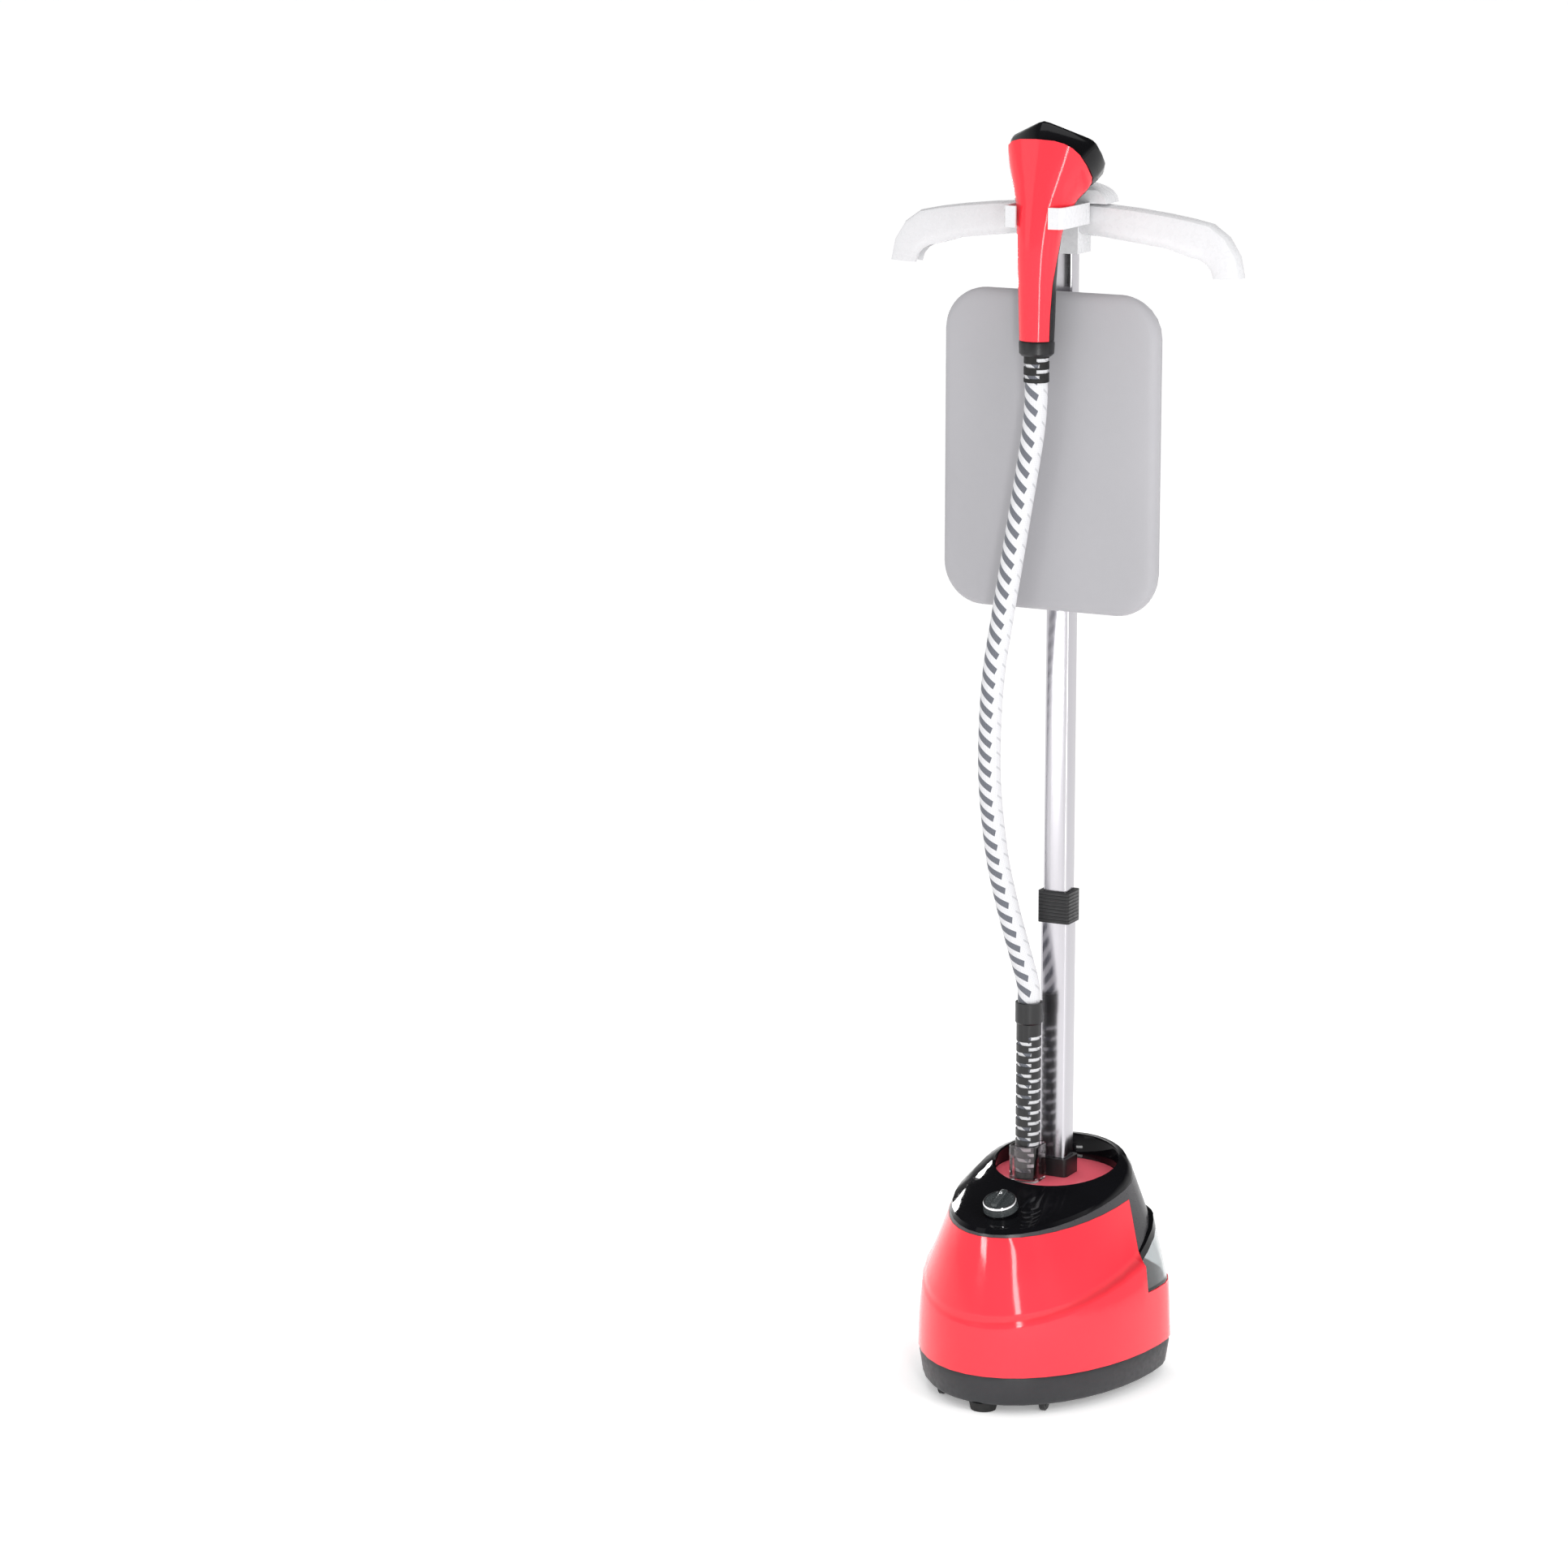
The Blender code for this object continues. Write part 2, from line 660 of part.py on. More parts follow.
def make_insides():
    floor = TRAY_FLOOR + GAP
    boiler = turned("boiler", [
        (0.0, 0.085),
        (0.026, 0.083),
        (0.040, 0.074),
        (0.043, 0.062),
        (0.043, 0.006),
        (0.038, 0.0),
        (0.0, 0.0),
    ])
    boiler.location = (-0.030, -0.058, floor)
    paint(boiler, SILVER, 0.35, 1.0)
    pump = rod("pump", 0.016, (0.040, -0.005, 0.034), (0.040, -0.085, 0.034), 20)
    paint(pump, MATT_BLACK, 0.5)
    bracket = box("pump_bracket", (0.030, 0.040, 0.0012), (0.040, -0.045, floor + 0.0006))
    paint(bracket, SILVER, 0.4, 1.0)
    board = box("control_board", (0.002, 0.060, 0.045), (0.082, -0.030, floor + 0.0230))
    paint(board, (0.02, 0.16, 0.06), 0.5)
    switch = box("knob_switch", (0.026, 0.026, 0.012), (KNOB_CENTRE.x, KNOB_CENTRE.y + 0.004, 0.196), 0.001)
    paint(switch, MATT_BLACK, 0.5)


def make_steam_pipe():
    """From the boiler's outlet up to the hose socket."""
    curve = bpy.data.curves.new("steam_pipe", "CURVE")
    curve.dimensions = "3D"
    curve.bevel_depth = 0.0045
    curve.bevel_resolution = 2
    curve.use_fill_caps = True
    spline = curve.splines.new("POLY")
    floor = TRAY_FLOOR + GAP
    start = Vector((-0.030, -0.058, floor + 0.085 + GAP))
    end = Vector((HOSE_X, HOSE_Y, DECK_TOP - 0.0005))
    handles = (start + Vector((0, 0, 0.07)), end - Vector((0, 0, 0.09)))
    steps = 10
    spline.points.add(steps)
    for k, point in enumerate(spline.points):
        t = k / steps
        co = (1 - t) ** 3 * start + 3 * (1 - t) ** 2 * t * handles[0]
        co += 3 * (1 - t) * t ** 2 * handles[1] + t ** 3 * end
        point.co = (*co, 1)
    pipe = bpy.data.objects.new("steam_pipe", curve)
    PARTS.objects.link(pipe)
    return paint(pipe, (0.5, 0.5, 0.5), 0.5)


# Tank --------------------------------------------------------------------------------------------

def tank_solid(name, wall, bottom, drop):
    """The tank's outer or inner space: the base's outline, cut to the notch and round the channel."""
    solid = tank_block(name, 0.0006 + wall)
    front = NOTCH_Y + GAP + wall
    combine(solid, prism_x(name + "_side", tank_profile(bottom, drop, front), 0.3), "INTERSECT")
    channel = channel_outline(CHANNEL_HALF_WIDTH + wall, CHANNEL_BACK + wall)
    combine(solid, plate(name + "_channel", [channel], 0.05, 0.3))
    return solid


def make_tank():
    tank = tank_solid("tank_body", 0.0, NOTCH_BOTTOM + GAP, 0.0)
    combine(tank, tank_solid("tank_space", 0.0025, NOTCH_BOTTOM + 0.003, 0.03))
    paint(tank, CLEAR, 0.05)

    lid = tank_block("tank_lid", 0.0004)
    front = NOTCH_Y + GAP
    nose_z = TANK_SHOULDER_Z + LID + 0.0016
    strip = [
        (front, TANK_SHOULDER_Z + GAP),
        (front + TANK_RAMP, TANK_TOP_Z + GAP),
        (0.30, TANK_TOP_Z + GAP),
        (0.30, TANK_TOP_Z + LID),
        (front + TANK_RAMP - 0.0025, TANK_TOP_Z + LID),
        (notch_front(nose_z) + GAP, nose_z),
    ]
    combine(lid, prism_x("lid_side", strip, 0.3), "INTERSECT")
    combine(lid, plate("lid_channel", [channel_outline(CHANNEL_HALF_WIDTH, CHANNEL_BACK)], 0.05, 0.3))
    plug_height, pocket_depth = 0.0022, 0.0030
    pocket_top = TANK_TOP_Z + LID
    pocket_floor = (0, PLUG_Y, pocket_top - pocket_depth)
    combine(lid, rod("plug_pocket", PLUG_RADIUS + 0.0005, pocket_floor, (0, PLUG_Y, pocket_top + 0.01)))
    paint(lid, GLOSS_BLACK, 0.2)

    outlet_y = CHANNEL_BACK - GAP
    outlet = rod("tank_outlet", 0.006, (0.0, outlet_y, 0.130), (0.0, outlet_y - 0.014, 0.130), 16)
    paint(outlet, MATT_BLACK, 0.4)
    plug = turned("tank_plug", [
        (0.0, plug_height),
        (PLUG_RADIUS - 0.001, plug_height),
        (PLUG_RADIUS, plug_height - 0.0008),
        (PLUG_RADIUS, 0.0),
        (0.0, 0.0),
    ], 20)
    plug.location = (0.0, PLUG_Y, pocket_floor[2] + GAP)
    paint(plug, MATT_BLACK, 0.4)
    pivot("tank_slide", (0, POLE_Y, NOTCH_BOTTOM), [tank, lid, outlet, plug])


# Knob --------------------------------------------------------------------------------------------

def make_knob():
    r, h = KNOB_RADIUS, KNOB_HEIGHT
    dial = turned("knob_dial", [
        (0.0, h - 0.0005),
        (r * 0.86, h - 0.0005),
        (r * 0.86, h - 0.0040),
        (r * 0.97, h - 0.0040),
        (r * 1.03, 0.0010),
        (0.0, 0.0010),
    ], 28)
    bar_depth = KNOB_BAR_HEIGHT + 0.003
    bar_z = h + KNOB_BAR_HEIGHT - bar_depth / 2
    bar = box("knob_bar", (0.0078, r * 1.60, bar_depth), (0, 0, bar_z), 0.0012)
    combine(dial, bar, "UNION")
    rim = turned("knob_rim", [
        (r * 0.88, h),
        (r * 0.94, h - 0.0001),
        (r * 0.98, h - 0.0012),
        (r * 0.985, h - 0.0036),
        (r * 0.88, h - 0.0036),
    ], 28)
    pointer = plate("knob_pointer", [[(-0.0016, 0.0), (0.0016, 0.0), (0.0, 0.0042)]],
        h + KNOB_BAR_HEIGHT + GAP, h + KNOB_BAR_HEIGHT + 2 * GAP)
    shaft = rod("knob_shaft", 0.0035, (0, 0, -0.022), (0, 0, 0.0010 - GAP), 14)
    placed = Matrix.Translation(KNOB_CENTRE) @ Matrix.Rotation(KNOB_TILT, 4, "X")
    for obj in (dial, bar, rim, pointer, shaft):
        obj.matrix_world = placed
    pointer.data.transform(Matrix.Translation((0, r * 0.25, 0)))
    paint(dial, (0.075, 0.085, 0.085), 0.3)
    paint(rim, SILVER, 0.12, 1.0)
    paint(pointer, WHITE, 0.4)
    paint(shaft, MATT_BLACK, 0.4)


# Pole --------------------------------------------------------------------------------------------

def tube(name, size, ends):
    width, depth = size
    outlines = [
        rounded(width, depth, 0.0035, (0, POLE_Y)),
        rounded(width - 2 * TUBE_WALL, depth - 2 * TUBE_WALL, 0.0024, (0, POLE_Y)),
    ]
    return paint(plate(name, outlines, *ends), SILVER, 0.28, 1.0)


def collar(name, bottom, outer_tube, inner_tube):
    """Black clamp: it holds the outer tube in its lower part and lets the inner one slide through."""
    outer = rounded(*COLLAR_SIZE, 0.003, (0, POLE_Y))
    body = plate(name, [outer], bottom, bottom + COLLAR_HEIGHT)
    lower = rounded(outer_tube[0] + 0.001, outer_tube[1] + 0.001, 0.0035, (0, POLE_Y))
    upper = rounded(inner_tube[0] + 0.001, inner_tube[1] + 0.001, 0.0035, (0, POLE_Y))
    combine(body, plate(name + "_lower", [lower], bottom - 0.01, bottom + 0.0144))
    combine(body, plate(name + "_upper", [upper], bottom - 0.01, bottom + 0.06))
    return paint(body, MATT_BLACK, 0.35)


def lever(name, bottom):
    """Flip lever on the collar's rear face, hinged at its foot."""
    rear = POLE_Y + COLLAR_SIZE[1] / 2
    pin_z = bottom + 0.009
    arm = box(name, (0.022, 0.005, 0.026), (0, rear + 0.0036, pin_z + 0.011), 0.0008)
    paint(arm, MATT_BLACK, 0.35)
    pivot(name + "_hinge", (0, rear + 0.0036, pin_z), [arm])
    return arm


def make_pole():
    tube("pole_lower_tube", LOWER_TUBE, LOWER_TUBE_Z)
    middle = tube("pole_middle_tube", MIDDLE_TUBE, MIDDLE_TUBE_Z)
    top = tube("pole_top_tube", TOP_TUBE, TOP_TUBE_Z)
    collar("lower_collar", LOWER_COLLAR_Z, LOWER_TUBE, MIDDLE_TUBE)
    upper = collar("upper_collar", UPPER_COLLAR_Z, MIDDLE_TUBE, TOP_TUBE)
    lever("lower_lever", LOWER_COLLAR_Z)
    lever("upper_lever", UPPER_COLLAR_Z)
    pivot("middle_slide", (0, POLE_Y, LOWER_COLLAR_Z), [middle, upper, bpy.data.objects["upper_lever_hinge"]])
    pivot("top_slide", (0, POLE_Y, UPPER_COLLAR_Z), [top])


# Hose --------------------------------------------------------------------------------------------

def slotted_sleeve(name, centre, ends, radius, cuff, levels, first_z):
    """A tube with two staggered rows of slots, each row cut from one side."""
    x, y = centre
    bottom, top = ends
    profile = [(radius * cuff, top), (radius * cuff, top - 0.024), (radius, top - 0.026)]
    if cuff == 1.0:
        profile = [(radius, top)]
    profile += [(radius, bottom), (GUARD_BORE, bottom), (GUARD_BORE, top)]
    sleeve = turned(name, profile, 16)
    sleeve.location = (x, y, 0)
    slots = []
    for level in range(levels):
        z = first_z + level * GUARD_PITCH
        slots.append(((0.04, 0.06, SLOT_HEIGHT), (-0.0165, 0, z)))
        slots.append(((0.04, 0.06, SLOT_HEIGHT), (0.0200, 0, z + GUARD_PITCH / 2)))
    cutter = boxes(name + "_slots", slots)
    cutter.matrix_world = Matrix.Translation((x, y, 0)) @ Matrix.Rotation(SLOT_TURN, 4, "Z")
    combine(sleeve, cutter)
    return paint(sleeve, MATT_BLACK, 0.4)


def smooth_route(points, count):
    """Points at even steps along a Catmull-Rom curve through the given ones."""
    places = [Vector(p) for p in points]
    padded = [2 * places[0] - places[1], *places, 2 * places[-1] - places[-2]]
    fine = []
    for k in range(len(places) - 1):
        p0, p1, p2, p3 = padded[k : k + 4]
        for step in range(20):
            t = step / 20
            fine.append(0.5 * (
                2 * p1 + (p2 - p0) * t + (2 * p0 - 5 * p1 + 4 * p2 - p3) * t ** 2
                + (3 * p1 - p0 - 3 * p2 + p3) * t ** 3
            ))
    fine.append(places[-1])
    lengths = [0.0]
    for first, second in zip(fine, fine[1:]):
        lengths.append(lengths[-1] + (second - first).length)
    route, at = [], 0
    for k in range(count):
        wanted = lengths[-1] * k / (count - 1)
        while at < len(fine) - 2 and lengths[at + 1] < wanted:
            at += 1
        share = (wanted - lengths[at]) / (lengths[at + 1] - lengths[at])
        route.append(fine[at].lerp(fine[at + 1], share))
    return route


def make_hose():
    curve = bpy.data.curves.new("steam_hose", "CURVE")
    curve.dimensions = "3D"
    curve.bevel_depth = HOSE_RADIUS
    curve.bevel_resolution = 3
    curve.use_fill_caps = True
    spline = curve.splines.new("POLY")
    route = smooth_route(HOSE_ROUTE, 28)
    spline.points.add(len(route) - 1)
    for point, co in zip(spline.points, route):
        point.co = (*co, 1)
    hose = bpy.data.objects.new("steam_hose", curve)
    PARTS.objects.link(hose)
    paint(hose, WHITE, 0.8)
    root_top = GUARD_Z[1] - 0.0015
    root = rod("hose_root", HOSE_RADIUS, (HOSE_X, HOSE_Y, GUARD_Z[0]), (HOSE_X, HOSE_Y, root_top), 16)
    paint(root, WHITE, 0.8)


def make_hose_socket():
    """Clear square cup on the deck, in which the slotted guard stands."""
    size, wall = 0.0355, 0.0026
    outline = rounded(size, size, 0.006, (HOSE_X, HOSE_Y))
    cup = plate("hose_socket", [outline], DECK_TOP + GAP, DECK_TOP + 0.044)
    centre = (HOSE_X, HOSE_Y, DECK_TOP + 0.003 + 0.03)
    combine(cup, box("hose_socket_cut", (size - 2 * wall, size - 2 * wall, 0.06), centre))
    paint(cup, CLEAR, 0.05)


# Hanger ------------------------------------------------------------------------------------------

ON_POLE = Matrix.Translation((0, POLE_Y, 0)) @ Matrix.Rotation(pi / 2, 4, "X")  # XY outlines to XZ


def arm_section(x, top, bottom, half_depth, side):
    """Rounded rectangle across the arm, in the plane of constant x."""
    points = rounded(2 * half_depth, top - bottom, min(half_depth, (top - bottom) / 2) * 0.55, steps=2)
    middle = (top + bottom) / 2
    row = [(side * x, POLE_Y + y, middle + z) for y, z in points]
    return row


def make_arm(name, side):
    """Arm that bends down to its tip: level sections first, then sections turned along the bend."""
    rows = [arm_section(x, top, bottom, depth, side) for x, top, bottom, depth in ARM_PATH]
    bend = Vector((0.160, 0, 1.3215))  # middle of the round end
    for step in range(1, 5):
        turn = step / 4 * radians(88)
        outer = Vector((0.160 + 0.0620 * sin(turn), 0, bend.z + 0.0670 * cos(turn)))
        inner = Vector((0.160 + 0.0270 * sin(turn), 0, bend.z + 0.0225 * cos(turn)))
        points = rounded(0.025, (outer - inner).length, 0.0065, steps=2)
        middle, along = (outer + inner) / 2, (outer - inner).normalized()
        rows.append([
            (side * (middle.x + along.x * z), POLE_Y + y, middle.z + along.z * z) for y, z in points
        ])
    arm = loft(name, rows)
    groove = [
        (0.040, 1.30),
        (0.215, 1.30),
        (0.212, 1.325),
        (0.203, 1.345),
        (0.185, 1.360),
        (0.150, 1.3745),
        (0.040, 1.3800),
    ]
    cutter = prism(name + "_groove", [(x * side, z) for x, z in groove], 0.0085, ON_POLE)
    combine(arm, cutter)
    return paint(arm, WHITE, 0.3)


def make_hub():
    """Sleeve over the top tube under a low dome."""
    outline = []
    for k in range(13):
        angle = pi * k / 12
        outline.append((0.0580 * cos(angle), SLEEVE_Z[1] + 0.026 * sin(angle)))
    outline += [
        (-0.0231, SLEEVE_Z[1]), (-0.0231, SLEEVE_Z[0]), (0.0231, SLEEVE_Z[0]), (0.0231, SLEEVE_Z[1]),
    ]
    hub = prism("hanger_hub", outline, 0.0185, ON_POLE)
    bore = rounded(TOP_TUBE[0] + 0.001, TOP_TUBE[1] + 0.001, 0.0035, (0, POLE_Y))
    combine(hub, plate("hub_bore", [bore], SLEEVE_Z[0] - 0.01, TOP_TUBE_Z[1] + GAP), solver="MANIFOLD")
    for side, name in ((-1, "front"), (1, "rear")):
        corner = [(POLE_Y + side * y, z) for y, z in ((0.030, 1.406), (0.030, 1.440), (-0.004, 1.440))]
        combine(hub, prism_x("hub_chamfer_" + name, corner, 0.08), solver="MANIFOLD")
    return paint(hub, WHITE, 0.3)


def make_fork():
    """U-shaped holder in front of the hub; the head's neck hangs between its prongs."""
    inner, outer = FORK_INNER, FORK_INNER + FORK_WALL
    back = POLE_Y - 0.0185 - GAP
    front = HEAD_Y - 0.0165
    tip = 0.0205
    half = [
        (outer, back),
        (outer, front + 0.007),
        (outer - 0.0045, front),
        (tip, front - 0.0010),
        (tip, front + 0.0020),
        (inner - 0.0035, front + 0.0032),
        (inner, front + 0.0075),
        (inner, back - FORK_WALL),
    ]
    outline = [(-x, y) for x, y in half] + half[::-1]
    fork = plate("hanger_fork", [outline], *FORK_Z)
    return paint(fork, WHITE, 0.3)


# Steam head --------------------------------------------------------------------------------------

def sole_axes():
    normal = Vector((0, sin(SOLE_TILT), cos(SOLE_TILT)))
    rearward = Vector((0, cos(SOLE_TILT), -sin(SOLE_TILT)))
    return normal, rearward


def head_stations():
    """Centre, rearward direction and sizes of each section, up to the one against the housing."""
    stations = []
    for y, z, tilt, *sizes in HEAD_STATIONS:
        angle = radians(tilt)
        stations.append((Vector((0, HEAD_Y + y, z)), Vector((0, cos(angle), -sin(angle))), *sizes))
    normal, rearward = sole_axes()
    stations.append((SOLE_CENTRE - normal * SOLE_HOUSING, rearward, *HEAD_TOP_SECTION))
    return stations


def rounded_power(value, power):
    return abs(value) ** (2 / power) * (1 if value > 0 else -1)


def head_row(station, power, front_side):
    """Half of an oval section, closed along the seam between the red shell and the black grip."""
    centre, rearward, half_width, front, rear, seam = station
    edge = seam - GAP if front_side else seam + GAP
    share = abs(edge) / (rear if edge > 0 else front)
    limit = asin(share ** (power / 2)) * (1 if edge > 0 else -1)
    row = []
    for step in range(HEAD_HALF_STEPS + 1):
        part = step / HEAD_HALF_STEPS
        angle = limit - part * (pi + 2 * limit) if front_side else limit + part * (pi - 2 * limit)
        across = half_width * rounded_power(cos(angle), power)
        along = (rear if sin(angle) > 0 else front) * rounded_power(sin(angle), power)
        row.append(tuple(centre + Vector((across, 0, 0)) + rearward * along))
    return row


def make_head():
    normal, rearward = sole_axes()
    stations = head_stations()
    sections = list(zip(stations, HEAD_SQUARENESS))
    shell = paint(loft("head_shell", [head_row(s, power, True) for s, power in sections]), RED, 0.15)
    grip = paint(loft("head_grip", [head_row(s, power, False) for s, power in sections]), MATT_BLACK, 0.45)

    def sole_row(scale, offset):
        outline = [
            (0.000, -0.0492), (0.0080, -0.0462), (0.0490, -0.0225), (0.0535, -0.0185), (0.0558, -0.0130),
            (0.0560, 0.0040), (0.0540, 0.0200), (0.0470, 0.0340), (0.0340, 0.0415), (0.0150, 0.0430),
        ]
        outline += [(0.0, 0.0430)] + [(-x, y) for x, y in outline[:0:-1]]
        return [
            tuple(SOLE_CENTRE + Vector((x * scale, 0, 0)) + rearward * y * scale + normal * offset)
            for x, y in outline
        ]

    housing = loft("sole_housing", [
        sole_row(0.90, -SOLE_HOUSING + GAP),
        sole_row(0.955, -SOLE_HOUSING + 0.009),
        sole_row(1.0, -0.006),
        sole_row(0.995, -0.0015),
        sole_row(0.97, 0.0),
    ])
    paint(housing, MATT_BLACK, 0.3)
    sole = loft("steam_plate", [sole_row(0.90, GAP), sole_row(0.90, 0.0018), sole_row(0.87, 0.0028)])
    places = [(across, along) for along in (-0.020, 0.002, 0.024) for across in (-0.030, -0.012, 0.012, 0.030)]
    vents = []
    for k, (across, along) in enumerate(places):
        centre = SOLE_CENTRE + Vector((across, 0, 0)) + rearward * along
        vents.append(rod("vent_%d" % k, 0.0022, centre + normal * 0.0010, centre + normal * 0.006, 8))
        combine(sole, vents[-1])
    paint(sole, SILVER, 0.3, 1.0)
    axis = Vector((0, HEAD_Y, 0))
    turn = Matrix.Translation(axis) @ Matrix.Rotation(HEAD_TURN, 4, "Z") @ Matrix.Translation(-axis)
    for obj in (shell, grip, housing, sole, *vents):
        obj.data.transform(turn)

    low, high = HEAD_COLLAR_Z
    collar_rows = []
    for z, grow in ((low, -0.0030), (low + 0.003, 0.0), (high - 0.002, 0.0005), (high, -0.0005)):
        collar_rows.append([
            ((0.0205 + grow) * cos(a), HEAD_Y + (0.0195 + grow) * sin(a), z)
            for a in (2 * pi * k / 20 for k in range(20))
        ])
    end = loft("head_collar", collar_rows)
    combine(end, rod("collar_bore", GUARD_BORE, (0, HEAD_Y, low - 0.01), (0, HEAD_Y, high - 0.003), 16))
    paint(end, MATT_BLACK, 0.3)
    relief = slotted_sleeve(
        "head_strain_relief", (0, HEAD_Y), RELIEF_Z, GUARD_RADIUS, 1.0, 2, RELIEF_Z[0] + 0.0065
    )
    pivot("head_lift", (0, HEAD_Y, FORK_Z[1]), [shell, grip, housing, sole, end, relief])


# Board -------------------------------------------------------------------------------------------

FRONT_TO_Z = Matrix(((1, 0, 0, 0), (0, 0, 1, 0), (0, 1, 0, 0), (0, 0, 0, 1)))


def upright_plate(name, outlines, front, back):
    """Outlines in XZ, extruded along Y."""
    obj = plate(name, outlines, front, back)
    obj.data.transform(FRONT_TO_Z)
    obj.data.flip_normals()
    return obj


def make_board():
    middle = (BOARD_Z[0] + BOARD_Z[1]) / 2
    height = BOARD_Z[1] - BOARD_Z[0]
    pad_outline = rounded(BOARD_WIDTH, height, BOARD_CORNER, (0, middle), 6)
    pad = upright_plate("board_pad", [pad_outline], BOARD_FRONT, BOARD_FRONT + PAD_THICK)
    bevel = pad.modifiers.new("soft_edge", "BEVEL")
    bevel.width = 0.005
    bevel.segments = 2
    bevel.limit_method = "ANGLE"
    bevel.angle_limit = radians(60)
    paint(pad, (0.52, 0.52, 0.55), 0.9)
    core_front = BOARD_FRONT + PAD_THICK + GAP
    core_outline = rounded(BOARD_WIDTH - 0.006, height - 0.006, BOARD_CORNER - 0.003, (0, middle), 6)
    core = upright_plate("board_core", [core_outline], core_front, core_front + CORE_THICK)
    paint(core, (0.30, 0.30, 0.32), 0.5)

    back = core_front + CORE_THICK + GAP
    half = TOP_TUBE[0] / 2 + 0.0006
    tube_front = POLE_Y - TOP_TUBE[1] / 2 - 0.0006
    tube_back = POLE_Y + TOP_TUBE[1] / 2 + 0.0006
    clips = []
    for name, z in zip(("lower", "upper"), CLIP_Z):
        wall, hook = 0.0034, 0.0030
        right = [
            (half + wall, back),
            (half + wall, tube_back + 0.003),
            (half - hook, tube_back + 0.003),
            (half - hook + 0.001, tube_back),
            (half, tube_back),
            (half, tube_front),
        ]
        outline = right + [(-x, y) for x, y in right[::-1]]
        clip = plate("board_clip_" + name, [outline], z - CLIP_HEIGHT / 2, z + CLIP_HEIGHT / 2)
        clips.append(paint(clip, MATT_BLACK, 0.35))
    socket_outer = rounded(0.044, 0.040, 0.004, (0, middle))
    socket_inner = rounded(TOP_TUBE[0] + 0.002, TOP_TUBE[1] + 0.002, 0.003, (0, middle))
    socket = upright_plate("board_socket", [socket_outer, socket_inner], back, back + 0.008)
    paint(socket, MATT_BLACK, 0.35)
    pivot("board_slide", (0, POLE_Y, middle), [pad, core, socket, *clips])


def main():
    make_tray()
    make_shell()
    make_trim()
    make_ring()
    make_deck()
    make_pole_socket()
    make_pole_foot()
    make_disc_foot()
    make_wheels()
    make_gland()
    make_insides()
    make_steam_pipe()
    make_tank()
    make_knob()
    make_pole()
    make_hose_socket()
    slotted_sleeve(
        "hose_guard", (HOSE_X, HOSE_Y), GUARD_Z, GUARD_RADIUS, 1.11, GUARD_LEVELS, GUARD_Z[0] + 0.010
    )
    make_hose()
    make_arm("hanger_arm_left", -1)
    make_arm("hanger_arm_right", 1)
    make_hub()
    make_fork()
    make_head()
    make_board()


main()
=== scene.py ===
import json
from math import cos, pi, radians, sin

import bmesh
import bpy
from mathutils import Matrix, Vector


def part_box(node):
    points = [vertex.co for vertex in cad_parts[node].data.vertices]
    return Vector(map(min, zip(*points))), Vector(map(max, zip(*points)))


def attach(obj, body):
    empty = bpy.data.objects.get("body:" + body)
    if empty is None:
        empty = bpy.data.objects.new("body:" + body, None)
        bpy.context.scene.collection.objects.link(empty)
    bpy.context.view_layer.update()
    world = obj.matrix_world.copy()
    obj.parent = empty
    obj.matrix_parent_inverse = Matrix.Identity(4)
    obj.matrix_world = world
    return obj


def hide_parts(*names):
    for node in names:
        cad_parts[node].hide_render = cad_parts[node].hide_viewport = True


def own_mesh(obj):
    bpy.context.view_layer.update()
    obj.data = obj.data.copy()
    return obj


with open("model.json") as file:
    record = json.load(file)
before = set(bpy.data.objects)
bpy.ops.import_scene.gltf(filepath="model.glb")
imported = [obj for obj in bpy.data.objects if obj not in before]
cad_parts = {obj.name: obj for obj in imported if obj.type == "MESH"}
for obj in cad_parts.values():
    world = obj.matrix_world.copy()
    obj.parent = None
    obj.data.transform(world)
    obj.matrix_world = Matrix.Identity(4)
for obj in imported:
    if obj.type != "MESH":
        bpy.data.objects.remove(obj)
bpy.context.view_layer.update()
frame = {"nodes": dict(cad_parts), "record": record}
NODES = frame["nodes"]

# All sizes are in metres, unless a comment says otherwise.

# Pole and steam head
POLE_Y = 0.056
HEAD_Y = POLE_Y - 0.078

# Hose: its route runs from the slotted guard's top into the head's end collar
HOSE_X, HOSE_Y, HOSE_RADIUS = -0.018, POLE_Y - 0.042, 0.0133
HOSE_EXIT = (HOSE_X, HOSE_Y, 0.4565)
HOSE_ROUTE = [
    HOSE_EXIT,
    (-0.0200, 0.0137, 0.480),
    (-0.0318, 0.0119, 0.522),
    (-0.0455, 0.0083, 0.574),
    (-0.0570, 0.0035, 0.634),
    (-0.0622, -0.0060, 0.716),
    (-0.0590, -0.0140, 0.790),
    (-0.0520, -0.0190, 0.858),
    (-0.0405, -0.0216, 0.924),
    (-0.0310, HEAD_Y, 0.978),
    (-0.0218, HEAD_Y, 1.032),
    (-0.0125, HEAD_Y, 1.086),
    (-0.0045, HEAD_Y, 1.135),
    (-0.0006, HEAD_Y, 1.172),
    (0.0, HEAD_Y, 1.205),
    (0.0, HEAD_Y, 1.252),
]
HOSE_STEP, HOSE_SIDES = 0.005, 40
ROUTE_FINENESS = 20  # points worked out for each stretch of the route
ROOT_TOP, ROOT_STEPS, ROOT_SIDES = 0.4545, 40, 32

# Dashes on the hose; the shares are of a dash pitch, or of one of the hose's two sides
DASH_PITCH, DASH_SHARE = 0.0182, 0.50
DASH_DROP = 1.75  # pitches that a dash would drop across one side
DASH_START, DASH_END, DASH_SLANT = 0.02, 0.50, 0.12
GHOST_SHARE, GHOST_START, GHOST_STRENGTH = 0.16, 0.70, 0.30
KNIT_RIBS, KNIT_PITCH = 46, 0.0016  # ribs in one turn, and loops along the hose

